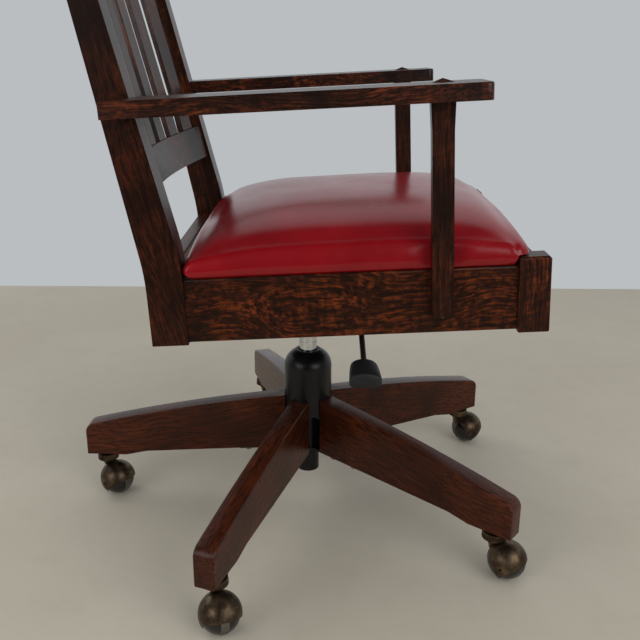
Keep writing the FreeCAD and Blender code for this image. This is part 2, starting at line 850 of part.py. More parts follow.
def hub_spider():
    """The column's tube with five webs that enter the spokes, each with a foot under its spoke."""
    body = new_body("Spider")
    inside = "column_radius - column_wall"
    tube = sketch(
        body, "Tube", "XZ_Plane",
        [("rod_radius + running_gap", "column_foot"), ("column_radius", "column_foot"),
         ("column_radius", "column_top"), (inside, "column_top"), (inside, "column_foot + column_floor"),
         ("rod_radius + running_gap", "column_foot + column_floor")],
    )
    revolved(body, tube)
    start = "column_radius - column_wall / 2"
    end = "web_length"
    low_start = "(" + UNDERSIDE % ("(%s)" % start) + ")"
    low_end = "(" + UNDERSIDE % "web_length" + ")"
    web = sketch(
        body, "Web", "XZ_Plane",
        [(start, low_start), (end, low_end), (end, low_end + " + web_height"),
         (start, low_start + " + web_height")],
        shift="-web_thickness / 2",
    )
    first = pad(body, web, "web_thickness", "Webs")
    foot = sketch(
        body, "Foot", "XZ_Plane",
        [(start, low_start + " - foot_thickness"), (end, low_end + " - foot_thickness"), (end, low_end),
         (start, low_start)],
        shift="-foot_width / 2",
    )
    second = pad(body, foot, "foot_width", "Feet")
    ring = body.newObject("PartDesign::PolarPattern", "Five")
    ring.Originals = [first, second]
    ring.Axis = (origin_axis(body, "Z_Axis"), [""])
    ring.Angle = 360.0
    ring.Occurrences = int(num("spoke_count"))
    body.Tip = ring
    doc.recompute()
    return node(turned(cut("Bored", body, ALL_FOOT_SCREWS), "first_spoke_angle"), "hub_spider")


def origin_axis(body, role):
    return [f for f in body.Origin.OriginFeatures if f.Role == role][0]


# Height of the spokes' sloping underside at a radius.
UNDERSIDE = ("spoke_root_foot - (%s - spoke_inner) / (spoke_rise_start - spoke_inner)"
             " * (spoke_root_foot - spoke_rise_height)")


def spoke(label, number):
    """A spoke with a crowned top, a flat pad for the caster and a rounded nose.

    It is slotted for the spider's web, and its root is cut down for the rim of the hub cover.
    """
    body = new_body("Spoke")
    half = "spoke_width / 2"
    chord = "sqrt((spoke_reach - spoke_inner) ^ 2 + (spoke_root_top - spoke_end_top) ^ 2)"
    crown = "((" + chord + ") ^ 2 / 4 + spoke_top_sag ^ 2) / (2 * spoke_top_sag)"
    side = sketch(
        body, "Side", "XZ_Plane",
        [("spoke_inner", "spoke_root_foot"), ("spoke_rise_start", "spoke_rise_height"),
         ("spoke_pad_start", "spoke_pad_height"), ("spoke_reach", "spoke_pad_height"),
         ("spoke_reach", "spoke_end_top", (crown, -1)), ("spoke_inner", "spoke_root_top")],
        shift="-" + half,
    )
    pad(body, side, "spoke_width")
    dress(body, "Fillet", "spoke_end_round",
          lambda p: near(p.x, "spoke_reach") and near(p.z, "spoke_end_top"))
    dress(body, "Chamfer", "spoke_edge",
          lambda p: near(abs(p.y), half) and (p.x > num("spoke_inner + web_gap")
                                              or p.z > num("spoke_root_top - web_gap")))
    slot_end = "(web_length + web_gap)"
    slot = sketch(
        body, "Slot", "XZ_Plane",
        [("spoke_inner - overrun", "spoke_pad_height"), (slot_end, "spoke_pad_height"),
         (slot_end, UNDERSIDE % slot_end + " + web_height + web_gap"),
         ("spoke_inner - overrun", UNDERSIDE % "(spoke_inner - overrun)" + " + web_height + web_gap")],
        shift="web_thickness / 2 + web_gap",
    )
    pocket(body, slot, "web_thickness + 2 * web_gap")
    seat = circle_sketch(body, "CoverSeat", "XY_Plane", ("0", "0"), "cover_radius + cover_seat_gap",
                         shift="cover_foot")
    pocket(body, seat, "spoke_root_top", back=True)
    hole = circle_sketch(body, "StemHole", "XY_Plane", ("stem_circle", "0"), "socket_radius",
                         shift="spoke_pad_height - overrun")
    pocket(body, hole, "socket_length + overrun", back=True)
    bored = cut("Bored", body, FOOT_SCREWS)
    return node(turned(bored, "first_spoke_angle + %d * 360 / spoke_count" % number), label)


def hub_cover():
    """A turned shell with a domed top, a collar round the chrome tube and an open foot."""
    body = new_body("Cover")
    inside = "(cover_radius - cover_wall)"
    outline = sketch(
        body, "Section", "XZ_Plane",
        [(inside, "cover_foot"), ("cover_radius", "cover_foot"),
         ("cover_radius", "cover_shoulder", ("cover_dome_radius", -1)),
         ("cover_mouth + cover_collar", "cover_top - cover_collar_height / 2"),
         ("cover_mouth + cover_collar", "cover_top"),
         ("cover_mouth", "cover_top"), ("cover_mouth", "cover_top - cover_wall - cover_collar_height"),
         ("cover_mouth + cover_collar", "cover_top - cover_wall - cover_collar_height"),
         (inside, "cover_shoulder")],
    )
    revolved(body, outline)
    return node(body, "hub_cover")


def guide_bush():
    body = new_body("Bush")
    bore = "lift_radius + running_gap"
    outline = sketch(
        body, "Section", "XZ_Plane",
        [(bore, "column_top - bush_length"), ("column_radius - column_wall", "column_top - bush_length"),
         ("column_radius - column_wall", "column_top"), ("column_radius", "column_top"),
         ("column_radius", "column_top + bush_flange"), (bore, "column_top + bush_flange")],
    )
    revolved(body, outline)
    return node(body, "guide_bush")


def ring_of(shape, count, first=0.0):
    """Copies of a shape spaced evenly round the column."""
    copies = []
    for i in range(count):
        copy = shape.copy()
        copy.rotate(V(0, 0, 0), V(0, 0, 1), first + 360.0 * i / count)
        copies.append(copy)
    return copies


def thrust_bearing():
    """Two washers and the race between them, on the floor of the column."""
    foot = num("column_foot + column_floor")
    inner = num("rod_radius + running_gap * 2")
    rings = []
    for radius, height in (("bearing_radius", "washer_thickness"), ("race_radius", "race_height"),
                           ("bearing_radius", "washer_thickness")):
        ring = Part.makeCylinder(num(radius), num(height), V(0, 0, foot))
        rings.append(ring.cut(Part.makeCylinder(inner, num(height), V(0, 0, foot))))
        foot += num(height)
    return plain_feature("ThrustBearing", Part.makeCompound(rings))


def piston_rod():
    """The rod, held at the column's foot, with the piston head that the chrome tube slides over."""
    body = new_body("Rod")
    tail = "(column_foot - clip_gap - clip_thickness - rod_tail)"
    head = "lift_radius - lift_wall - piston_gap"
    step = "(column_foot + column_floor + 2 * washer_thickness + race_height + running_gap)"
    outline = sketch(
        body, "Section", "XZ_Plane",
        [("0", tail), ("rod_radius", tail), ("rod_radius", step), ("rod_collar_radius", step),
         ("rod_collar_radius", step + " + rod_collar_height"), ("rod_radius", step + " + rod_collar_height"),
         ("rod_radius", "piston_height"), (head, "piston_height"),
         (head, "piston_height + piston_length"), ("0", "piston_height + piston_length")],
    )
    revolved(body, outline)
    node(body, "piston_rod")
    # the clip below the column's floor, with the bearing above it
    clip_foot = "column_foot - clip_gap - clip_thickness"
    plate = cylinder("ClipPlate", "clip_radius", "clip_thickness", z=clip_foot)
    bore = cylinder("ClipBore", "rod_radius + running_gap / 5", "clip_thickness", z=clip_foot)
    node(grouped("RodHardware", cut("Clip", plate, bore), thrust_bearing()), "rod_hardware")


def pressure_tube():
    """The chrome tube: closed at its foot round the rod, slightly tapered where it enters the seat."""
    body = new_body("Lift")
    inner = "(lift_radius - lift_wall)"
    bore = "(rod_radius + running_gap)"
    outline = sketch(
        body, "Section", "XZ_Plane",
        [(bore, "lift_foot"), ("lift_radius", "lift_foot"), ("lift_radius", "lift_ring_height"),
         ("lift_radius - lift_ring_depth", "lift_ring_height"),
         ("lift_radius - lift_ring_depth", "lift_ring_height + lift_ring_width"),
         ("lift_radius", "lift_ring_height + lift_ring_width"), ("lift_radius", "lift_top - taper_length"),
         ("lift_radius - taper_drop", "lift_top"), ("release_pin_radius + running_gap", "lift_top"),
         ("release_pin_radius + running_gap", "lift_top - lift_foot_seal"),
         (inner, "lift_top - lift_foot_seal"), (inner, "lift_foot + lift_foot_seal"),
         (bore, "lift_foot + lift_foot_seal")],
    )
    revolved(body, outline)
    node(body, "pressure_tube")
    node(cylinder("ReleasePin", "release_pin_radius", "release_pin_length + release_pin_rise",
                  z="lift_top - release_pin_length"), "release_pin")


def screw(length):
    """A flat-headed wood screw standing on the origin, its shank along +Z."""
    head = Part.makeCylinder(num("screw_head_radius"), num("screw_head_height"), V(0, 0, 0), V(0, 0, -1))
    return head.fuse(Part.makeCylinder(num("screw_radius"), num(length)))


def foot_screws():
    """Two pairs through one foot of the spider, set square to the spoke's sloping underside."""
    slope = math.degrees(math.atan2(num("spoke_root_foot - spoke_rise_height"),
                                    num("spoke_rise_start - spoke_inner")))
    made = []
    for name in ("first_screw", "second_screw"):
        for side in (-1, 1):
            one = screw("screw_length")
            one.rotate(V(0, 0, 0), V(0, 1, 0), slope)
            height = num(UNDERSIDE % name + " - foot_thickness")
            across = side * num("foot_width / 2 - screw_head_radius")
            made.append(one.translated(V(num(name), across, height)))
    return made


def seat_screw_shapes():
    """Screws up through the plate into the battens, and out through the rails into the arm posts."""
    made = []
    for x in (-1, 1):
        for y in (-1, 1):
            one = screw("screw_length")
            corner = V(x * num("plate_half_width - ear_radius"), y * num("batten_place"), 0)
            made.append(one.translated(corner))
            side = screw("arm_screw_length")
            side.rotate(V(0, 0, 0), V(0, 1, 0), 90.0 * x)
            height = num("rail_height / 2") + y * num("rail_height / 5")
            inside = V(x * num("rail_outer - rail_thickness"), -num("arm_post_place"), height)
            made.append(side.translated(inside))
    return made


# The ball casters.

def unit(angle):
    return V(math.cos(math.radians(angle)), math.sin(math.radians(angle)), 0)


def stem_places():
    """The stems' places round the column."""
    angles = ["first_spoke_angle + %d * 360 / spoke_count" % k for k in range(int(num("spoke_count")))]
    return [unit(num(angle)) * num("stem_circle") for angle in angles]


def at_stem(item, number):
    """Places a caster's piece that is modelled with the stem on the Z axis and the ball trailing to +X."""
    angle = "(first_spoke_angle + %d * 360 / spoke_count)" % (number - 1)
    trail = "trail_angle_%d" % number
    item.Placement = FreeCAD.Placement(V(0, 0, 0), FreeCAD.Rotation(V(0, 0, 1), num(trail)))
    bind(item, Placement__Base__x="stem_circle * cos(%s)" % angle,
         Placement__Base__y="stem_circle * sin(%s)" % angle, Placement__Rotation__Angle=trail)
    return item


def sphere(name, radius):
    return feature("Part::Sphere", name, Radius=radius, Placement__Base__x="ball_offset",
                   Placement__Base__z="tread_radius")


def along_y(name, radius, x, z, half_length):
    """A round bar along Y, centred on the plane of the stem and the ball."""
    bar = feature("Part::Cylinder", name, Radius=radius, Height="2 * " + half_length)
    bar.Placement = FreeCAD.Placement(V(0, 0, 0), FreeCAD.Rotation(V(-1, 0, 0), 90))
    bind(bar, Placement__Base__x=x, Placement__Base__y="-" + half_length, Placement__Base__z=z)
    return bar


def caster_neck():
    """A cone with a hollow outline that widens from the ball to a ringed collar, about the stem."""
    body = new_body("Neck")
    low = "neck_height"
    ring = "neck_radius + collar_step + neck_ring"
    outline = sketch(
        body, "Section", "XZ_Plane",
        [("0", "neck_foot"), ("neck_waist", "neck_foot", ("neck_sweep", 1)), ("neck_radius", low),
         (ring, low), (ring, low + " + neck_ring_height"),
         ("neck_radius + collar_step", low + " + neck_ring_height"),
         ("neck_radius + collar_step", low + " + neck_ring_pitch"),
         (ring, low + " + neck_ring_pitch"), (ring, low + " + neck_ring_pitch + neck_ring_height"),
         ("neck_radius + collar_step", low + " + neck_ring_pitch + neck_ring_height"),
         ("neck_radius + collar_step", "collar_top"), ("0", "collar_top")],
    )
    revolved(body, outline)
    return body


def caster_front():
    """What is taken off the ball on the side of the stem: all that lies beyond a slanting line."""
    body = new_body("Front")
    beyond = "(2 * hood_radius)"
    outline = sketch(
        body, "Side", "XZ_Plane",
        [("ball_offset - opening_slant_top", "tread_radius + opening_slant_reach"),
         ("ball_offset - " + beyond, "tread_radius + opening_slant_reach"),
         ("ball_offset - " + beyond, "tread_radius - opening_slant_reach"),
         ("ball_offset + opening_slant_foot", "tread_radius - opening_slant_reach")],
        shift="-hood_radius",
    )
    pad(body, outline, "2 * hood_radius")
    return body


def caster_hood(number):
    """A thin ball shell open on both sides of its cheeks, which reach down round the axle's ends.

    It is joined by a hollow-sided cone to the ringed collar about the stem.
    """
    mouth = along_y("Mouth", "mouth_radius", "ball_offset + mouth_behind", "tread_radius - mouth_below",
                    "hood_radius")
    tip = box("Tip", "ball_offset - hood_radius", "-hood_radius", "tread_radius - 2 * hood_radius",
              "2 * hood_radius", "2 * hood_radius", "2 * hood_radius - tongue_drop")
    shell = cut("Shell", sphere("Outside", "hood_radius"), mouth, caster_front(), tip)
    hollow = sphere("Hollow", "hood_inner_radius")
    stem_bore = cylinder("StemBore", "stem_radius", "collar_top - stem_foot", z="stem_foot")
    axle_bore = along_y("AxleBore", "axle_radius", "ball_offset", "tread_radius", "hood_radius")
    hood = cut("Hood", joined("HoodWhole", shell, caster_neck()), hollow, stem_bore, axle_bore)
    node(at_stem(hood, number), "caster_hood_%d" % number)


def caster_stem(number):
    """The grip stem in its socket, and the axle on which the wheel turns."""
    pin = cylinder("GripPin", "stem_radius", "stem_rise - stem_foot", z="stem_foot")
    axle = along_y("Axle", "axle_radius", "ball_offset", "tread_radius", "(hood_radius - axle_recess)")
    node(at_stem(grouped("Stem", pin, axle), number), "caster_stem_%d" % number)


def ball_place(half_width, radius):
    return "sqrt(%s ^ 2 - %s ^ 2)" % (radius, half_width)


def caster_wheel(number):
    """An almost full ball with flat ends, a raised tread round its middle and a bore for the axle."""
    body = new_body("Wheel")
    bore = "axle_radius + running_gap"
    end = "wheel_half_width"
    side = "tread_half_width"
    outline = sketch(
        body, "Section", "YZ_Plane",
        [("-" + end, bore), (end, bore), (end, ball_place(end, "wheel_radius"), ("wheel_radius", -1)),
         (side, ball_place(side, "wheel_radius")),
         (side, ball_place(side, "tread_radius"), ("tread_radius", -1)),
         ("-" + side, ball_place(side, "tread_radius")),
         ("-" + side, ball_place(side, "wheel_radius"), ("wheel_radius", -1)),
         ("-" + end, ball_place(end, "wheel_radius"))],
    )
    revolved(body, outline, "H_Axis")
    bind(body, Placement__Base__x="ball_offset", Placement__Base__z="tread_radius")
    node(at_stem(grouped("WheelPlaced", body), number), "caster_wheel_%d" % number)


def caster_sockets():
    """A flanged sleeve in each spoke's pad, in which the grip stem turns."""
    made = []
    foot = num("spoke_pad_height")
    for stem in stem_places():
        thick = num("socket_flange_thickness")
        flange = Part.makeCylinder(num("socket_flange"), thick, V(stem.x, stem.y, foot - thick))
        sleeve = Part.makeCylinder(num("socket_radius"), num("socket_length - socket_flange_thickness"),
                                   V(stem.x, stem.y, foot - thick / 2.0))
        bore = Part.makeCylinder(num("stem_radius + running_gap"), num("socket_length") * 2.0,
                                 V(stem.x, stem.y, foot - num("overrun")))
        made.append(flange.fuse(sleeve).cut(bore).removeSplitter())
    return plain_feature("CasterSockets", Part.makeCompound(made))


def casters():
    for number in range(1, int(num("spoke_count")) + 1):
        caster_hood(number)
        caster_stem(number)
        caster_wheel(number)


# The tilt mechanism.

def mechanism_housing():
    """A pressed tray with a socket for the chrome tube, ears for the lever and holes for the tilt pin."""
    body = new_body("Tray")
    top_front = "tray_foot + tray_front_height"
    top_rear = "tray_foot + tray_rear_height"
    side = sketch(
        body, "Side", "YZ_Plane",
        [("-tray_front", "tray_foot"), ("tray_rear", "tray_foot"), ("tray_rear", top_rear),
         ("-tray_slope_start", top_front), ("-tray_front", top_front)],
        shift="-tray_half_width",
    )
    pad(body, side, "2 * tray_half_width")
    hollow = sketch(
        body, "Hollow", "XY_Plane",
        [("tray_wall - tray_half_width", "tray_wall - tray_front"),
         ("tray_half_width - tray_wall", "tray_wall - tray_front"),
         ("tray_half_width - tray_wall", "tray_rear - tray_wall"),
         ("tray_wall - tray_half_width", "tray_rear - tray_wall")],
        shift="tray_foot + tray_front_height + overrun",
    )
    pocket(body, hollow, "tray_front_height - tray_wall + overrun")
    boss = circle_sketch(body, "Boss", "XY_Plane", ("0", "0"), "boss_radius",
                         shift="tray_foot + tray_wall / 2")
    pad(body, boss, "boss_height - tray_wall / 2")
    half = "lever_ear_half_width"
    for sign in ("-", ""):
        near_y = "-lever_place %s (lever_radius + lever_ear_gap)" % ("-" if sign else "+")
        far_y = near_y + " %s lever_ear_thickness" % ("-" if sign else "+")
        ear = sketch(
            body, "LeverEar", "XY_Plane",
            [("-lever_pivot - " + half, near_y), (half + " - lever_pivot", near_y),
             (half + " - lever_pivot", far_y), ("-lever_pivot - " + half, far_y)],
            shift="tray_foot + tray_wall / 2",
        )
        pad(body, ear, LEVER_PIVOT_HEIGHT + " + " + half + " - tray_foot - tray_wall / 2")
    taper = sketch(
        body, "Socket", "XZ_Plane",
        [("0", "tray_foot - overrun"), ("lift_radius", "tray_foot - overrun"),
         ("lift_radius", "lift_top - taper_length"),
         ("lift_radius - taper_drop", "lift_top"), ("0", "lift_top")],
    )
    groove = body.newObject("PartDesign::Groove", "Bore")
    groove.Profile = taper
    groove.ReferenceAxis = (taper, ["V_Axis"])
    groove.Angle = 360.0
    doc.recompute()
    pins = circle_sketch(body, "PinHoles", "YZ_Plane", ("-tilt_pin_place", "tilt_pin_height"),
                         "tilt_pin_radius + running_gap / 5", shift="tray_half_width + overrun")
    pocket(body, pins, "2 * (tray_half_width + overrun)")
    lever_hole = circle_sketch(body, "LeverHoles", "XZ_Plane", ("-lever_pivot", LEVER_PIVOT_HEIGHT),
                               "lever_pin_radius + running_gap",
                               shift="lever_place - lever_pin_half_length - overrun")
    pocket(body, lever_hole, "2 * (lever_pin_half_length + overrun)", back=True)
    slot = sketch(
        body, "LeverSlot", "YZ_Plane",
        [("-lever_place - lever_slot / 2", "tray_foot + tray_wall + overrun"),
         ("lever_slot / 2 - lever_place", "tray_foot + tray_wall + overrun"),
         ("lever_slot / 2 - lever_place", "tray_foot + tray_front_height + overrun"),
         ("-lever_place - lever_slot / 2", "tray_foot + tray_front_height + overrun")],
        shift="-tray_half_width - overrun",
    )
    pocket(body, slot, "tray_wall + 2 * overrun", back=True)
    bolt_hole = circle_sketch(body, "BoltHole", "XY_Plane", ("0", "spring_place"),
                              "bolt_radius + running_gap", shift="tray_foot + tray_wall + overrun")
    pocket(body, bolt_hole, "tray_wall + 2 * overrun")
    node(body, "mechanism_housing")


LEVER_SLOPE = "(lever_fall / lever_outer_end)"
LEVER_PIVOT_HEIGHT = "(lever_inner_height - lever_pivot * " + LEVER_SLOPE + ")"


def along_x(name, radius, x, y, z, length):
    """A round bar along X."""
    bar = feature("Part::Cylinder", name, Radius=radius, Height=length)
    bar.Placement = FreeCAD.Placement(V(0, 0, 0), FreeCAD.Rotation(V(0, 1, 0), 90))
    bind(bar, Placement__Base__x=x, Placement__Base__y=y, Placement__Base__z=z)
    return bar


def tilt_pin():
    """The hinge pin of the tilt, with a head outside each wall of the tray."""
    y = "-tilt_pin_place"
    z = "tilt_pin_height"
    outside = "(tray_half_width + ear_gap / 4)"
    shaft = along_x("PinShaft", "tilt_pin_radius", "-" + outside, y, z, "2 * " + outside)
    heads = [along_x("PinHeadRight", "tilt_pin_head", "-%s - tilt_pin_head_thickness" % outside, y, z,
                     "tilt_pin_head_thickness"),
             along_x("PinHeadLeft", "tilt_pin_head", outside, y, z, "tilt_pin_head_thickness")]
    node(joined("PinWhole", shaft, *heads), "tilt_pin")


def seat_plate():
    """The plate under the battens, with two ears that hang down and turn on the tilt pin."""
    body = new_body("Plate")
    flat = sketch(
        body, "Plan", "XY_Plane",
        [("-plate_half_width", "-plate_front"), ("plate_half_width", "-plate_front"),
         ("plate_half_width", "plate_rear"), ("-plate_half_width", "plate_rear")],
    )
    pad(body, flat, "plate_thickness")
    dress(body, "Fillet", "ear_radius",
          lambda p: near(abs(p.x), "plate_half_width")
          and (near(p.y, "-plate_front") or near(p.y, "plate_rear")))
    # the pin's place seen in the leaning frame of the seat
    pin_y = "(-tilt_pin_place * cos(seat_rake) - (tilt_pin_height - rail_base_height) * sin(seat_rake))"
    pin_z = "((tilt_pin_height - rail_base_height) * cos(seat_rake) - tilt_pin_place * sin(seat_rake))"
    outside = "(tray_half_width - tray_wall - ear_gap)"
    for start in ("-" + outside, outside + " - ear_thickness"):
        ear = sketch(
            body, "Ear", "YZ_Plane",
            [(pin_y + " - ear_root", "plate_thickness / 2"),
             (pin_y + " - ear_radius", pin_z, ("ear_radius", -1)),
             (pin_y, pin_z + " - ear_radius", ("ear_radius", -1)), (pin_y + " + ear_radius", pin_z),
             (pin_y + " + ear_root", "plate_thickness / 2")],
            shift=start,
        )
        pad(body, ear, "ear_thickness")
    hole = circle_sketch(body, "PinHole", "YZ_Plane", (pin_y, pin_z), "tilt_pin_radius + running_gap",
                         shift="tray_half_width")
    pocket(body, hole, "2 * tray_half_width")
    node(in_seat(cut("Bored", body, SEAT_SCREWS)), "seat_plate")


def tension_spring():
    """A coil between the floor of the tray and the seat plate, behind the column.

    The wire has flat sides and short straight runs, so that the coil stays light.
    """
    wire = num("spring_wire / 2")
    radius = num("spring_radius") - wire
    place_y = num("spring_place")
    foot = num("tray_foot + tray_wall") + wire
    seat = num("rail_base_height - (spring_place + spring_radius) * tan(seat_rake)")
    rise = seat - num("finger_gap") - wire - foot
    sides = int(num("spring_wire_sides"))
    runs = int(num("spring_turns * spring_runs"))
    rings = []
    for i in range(runs + 1):
        turn = 2.0 * math.pi * i / num("spring_runs")
        out = V(math.cos(turn), math.sin(turn), 0)
        middle = V(0, place_y, foot + rise * i / runs) + out * radius
        corners = []
        for k in range(sides):
            angle = 2.0 * math.pi * k / sides
            corners.append(middle + out * (wire * math.cos(angle)) + V(0, 0, wire * math.sin(angle)))
        rings.append(corners)
    faces = [Part.Face(Part.makePolygon(ring + ring[:1])) for ring in (rings[0], rings[-1])]
    for low, high in zip(rings, rings[1:]):
        for k in range(sides):
            m = (k + 1) % sides
            faces.append(Part.Face(Part.makePolygon([low[k], low[m], high[m], low[k]])))
            faces.append(Part.Face(Part.makePolygon([low[k], high[m], high[k], low[k]])))
    shell = Part.makeShell(faces)
    shell.sewShape()
    solid_feature("tension_spring", Part.makeSolid(shell))


def tension_knob():
    """A fluted knob under the tray, on the bolt that sets the spring."""
    body = new_body("Knob")
    top = "(tray_foot - knob_gap)"
    disc = circle_sketch(body, "Disc", "XY_Plane", ("0", "0"), "knob_radius", shift=top + " - knob_height")
    pad(body, disc, "knob_height")
    flute = circle_sketch(body, "Flute", "XY_Plane", ("knob_radius + knob_height / 6", "0"),
                          "knob_height / 3", shift=top + " + overrun")
    first = pocket(body, flute, "knob_height + 2 * overrun")
    ring = body.newObject("PartDesign::PolarPattern", "Flutes")
    ring.Originals = [first]
    ring.Axis = (origin_axis(body, "Z_Axis"), [""])
    ring.Angle = 360.0
    ring.Occurrences = int(num("knob_flutes"))
    body.Tip = ring
    doc.recompute()
    bolt = circle_sketch(body, "Bolt", "XY_Plane", ("0", "0"), "bolt_radius",
                         shift=top + " - knob_height / 2")
    pad(body, bolt, "bolt_rise + knob_height / 2")
    body.Placement = FreeCAD.Placement()
    bind(body, Placement__Base__y="spring_place")
    node(body, "tension_knob")


def lever():
    """The height lever: a rod on a cross pin, with a finger over the release pin and a paddle outside."""
    inner = V(num("finger_width / 2"), -num("lever_place"), num("lever_inner_height"))
    slope = num(LEVER_SLOPE)
    inner.z = num("lever_inner_height") + inner.x * slope
    outer = V(-num("lever_outer_end"), inner.y, num("lever_inner_height - lever_fall"))
    way = outer - inner
    rod = Part.makeCylinder(num("lever_radius"), way.Length, inner, way)
    pivot = V(-num("lever_pivot"), inner.y - num("lever_pin_half_length"), num(LEVER_PIVOT_HEIGHT))
    pin = Part.makeCylinder(num("lever_pin_radius"), 2.0 * num("lever_pin_half_length"), pivot, V(0, 1, 0))
    foot = num("finger_foot")
    finger = Part.makeBox(num("finger_width"), num("lever_place + finger_overhang"), num("finger_thickness"),
                          V(-num("finger_width / 2"), -num("lever_place"), foot))
    solid_feature("lever_rod", rod.fuse([pin, finger]).removeSplitter())

    body = new_body("Paddle")
    half = "paddle_width / 2"
    outline = sketch(
        body, "Plan", "XY_Plane",
        [("-paddle_end", "-lever_place - " + half), ("-paddle_start", "-lever_place - " + half),
         ("-paddle_start", half + " - lever_place"), ("-paddle_end", half + " - lever_place")],
        shift="-paddle_thickness / 2",
    )
    pad(body, outline, "paddle_thickness")
    dress(body, "Fillet", "paddle_corner",
          lambda p: (near(p.x, "-paddle_end") or near(p.x, "-paddle_start"))
          and abs(abs(p.y + num("lever_place")) - num(half)) < num("web_gap"))
    dress(body, "Chamfer", "paddle_edge", lambda p: near(p.z, "-paddle_thickness / 2"))
    dress(body, "Chamfer", "paddle_edge / 3", lambda p: near(p.z, "paddle_thickness / 2"))
    rod_tool = doc.addObject("Part::Feature", "RodTool")
    rod_tool.Shape = rod.translated(V(0, 0, -num(PADDLE_HEIGHT)))
    paddle = cut("PaddleBored", body, rod_tool)
    bind(paddle, Placement__Base__z=PADDLE_HEIGHT)
    node(paddle, "lever_paddle")


PADDLE_HEIGHT = ("(lever_inner_height - lever_fall + (lever_outer_end - paddle_start) / 2 * " + LEVER_SLOPE
                 + " - paddle_drop)")


def column():
    hub_spider()
    hub_cover()
    guide_bush()
    piston_rod()
    pressure_tube()


def mechanism():
    mechanism_housing()
    tilt_pin()
    seat_plate()
    tension_spring()
    tension_knob()
    lever()


def check(item):
    """Stops if an object failed or a shape is empty or broken."""
    if set(item.State) & {"Invalid", "Error"}:
        raise RuntimeError("%s of %s: %s" % (item.Label, [p.Label for p in item.InList], item.State))


def five(shapes):
    """The shapes repeated for each spoke."""
    made = []
    for one in shapes:
        made.extend(ring_of(one, int(num("spoke_count"))))
    return made


# The screws as objects that bore the pieces that they hold.
SEAT_SCREWS = plain_feature("SeatScrews", Part.makeCompound(seat_screw_shapes()))
FOOT_SCREWS = plain_feature("FootScrews", Part.makeCompound(foot_screws()))
ALL_FOOT_SCREWS = plain_feature("AllFootScrews", Part.makeCompound(five(foot_screws())))


def main():
    seat_frame()
    frame_inside()
    cushion()
    back()
    arms()
    column()
    for number in range(int(num("spoke_count"))):
        spoke("spoke_%d" % (number + 1), number)
    screws = turned(plain_feature("SpokeScrews", Part.makeCompound(five(foot_screws()))), "first_spoke_angle")
    node(grouped("BaseHardware", screws, caster_sockets()), "base_hardware")
    casters()
    mechanism()
    in_seat(solid_feature("seat_screws", Part.makeCompound(seat_screw_shapes())))
    doc.recompute()
    for item in doc.Objects:
        check(item)
    for item in NODES:
        if item.Shape.isNull() or not item.Shape.isValid() or not item.Shape.Solids:
            raise RuntimeError("bad shape: " + item.Label)
    os.makedirs("parts", exist_ok=True)
    for item in NODES:
        item.Shape.exportStep("parts/%s.step" % item.Label)
    print(len(NODES), "nodes")


main()
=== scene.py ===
import math

import bmesh
import bpy
from mathutils import Matrix, Vector, noise

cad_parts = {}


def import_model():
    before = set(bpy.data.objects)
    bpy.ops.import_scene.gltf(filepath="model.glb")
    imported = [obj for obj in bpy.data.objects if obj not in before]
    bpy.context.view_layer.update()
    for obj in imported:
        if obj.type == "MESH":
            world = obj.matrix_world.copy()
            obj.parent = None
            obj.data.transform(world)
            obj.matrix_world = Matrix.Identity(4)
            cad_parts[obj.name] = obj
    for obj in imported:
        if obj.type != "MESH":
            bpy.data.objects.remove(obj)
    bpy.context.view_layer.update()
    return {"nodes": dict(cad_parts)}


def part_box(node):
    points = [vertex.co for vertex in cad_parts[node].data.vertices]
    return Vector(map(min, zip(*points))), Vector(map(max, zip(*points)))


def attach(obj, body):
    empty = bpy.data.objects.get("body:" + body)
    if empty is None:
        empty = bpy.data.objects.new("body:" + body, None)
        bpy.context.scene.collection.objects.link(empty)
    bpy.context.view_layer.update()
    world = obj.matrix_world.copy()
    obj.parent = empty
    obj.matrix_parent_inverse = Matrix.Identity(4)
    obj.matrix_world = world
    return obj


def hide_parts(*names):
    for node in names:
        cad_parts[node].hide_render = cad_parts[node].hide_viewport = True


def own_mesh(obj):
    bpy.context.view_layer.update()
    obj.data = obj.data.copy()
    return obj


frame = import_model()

NODES = frame["nodes"]

# The camera, solved from the object's edges in the photograph, a square of 640 pixels.
IMAGE = 640.0
SENSOR = 36.0
FOCAL_PIXELS = 794.88
CENTRE_X = 303.78
CENTRE_Y = 303.65
CAMERA_PLACE = Vector((-1.1824, -0.01965, 0.7188))
CAMERA_YAW = math.radians(1.28)
CAMERA_PITCH = math.radians(17.96)
CAMERA_ROLL = math.radians(-0.06)
NEAR_CLIP = 0.05
FAR_CLIP = 60.0

# The solids' own sizes, in metres. The seat's frame leans back about the column.
SEAT_RAKE = math.radians(2.9)
SEAT_BASE = 0.366
BACK_RAKE = math.radians(11.4)
BLOCK_INNER = 0.2083
BLOCK_REAR = -0.267
BLOCK_TOP = 0.0945
POST_INNER_FACE = 0.2355
ARM_POST_PLACE = -0.1725
ARM_POST_WIDTH = 0.026
FIRST_SPOKE = math.radians(160.2)
SPOKES = 5
SLATS = 7

SEAT = Matrix.Translation((0.0, 0.0, SEAT_BASE)) @ Matrix.Rotation(-SEAT_RAKE, 4, "X")
BACK = SEAT @ Matrix.Rotation(-BACK_RAKE, 4, "X")

# The casters: the stems' circle, and how far and which way each ball trails its stem.
STEM_CIRCLE = 0.3378
BALL_OFFSET = 0.0206
BALL_RADIUS = 0.0272
TRAIL_ANGLES = (201.2, 240.0, 291.3, 262.0, 233.5)

FULL_TURN = 2.0 * math.pi
ALONG_X = Vector((1.0, 0.0, 0.0))
ALONG_Y = Vector((0.0, 1.0, 0.0))
UP = Vector((0.0, 0.0, 1.0))


def heading(angle):
    """The level direction at an angle from X."""
    return Vector((math.cos(angle), math.sin(angle), 0.0))


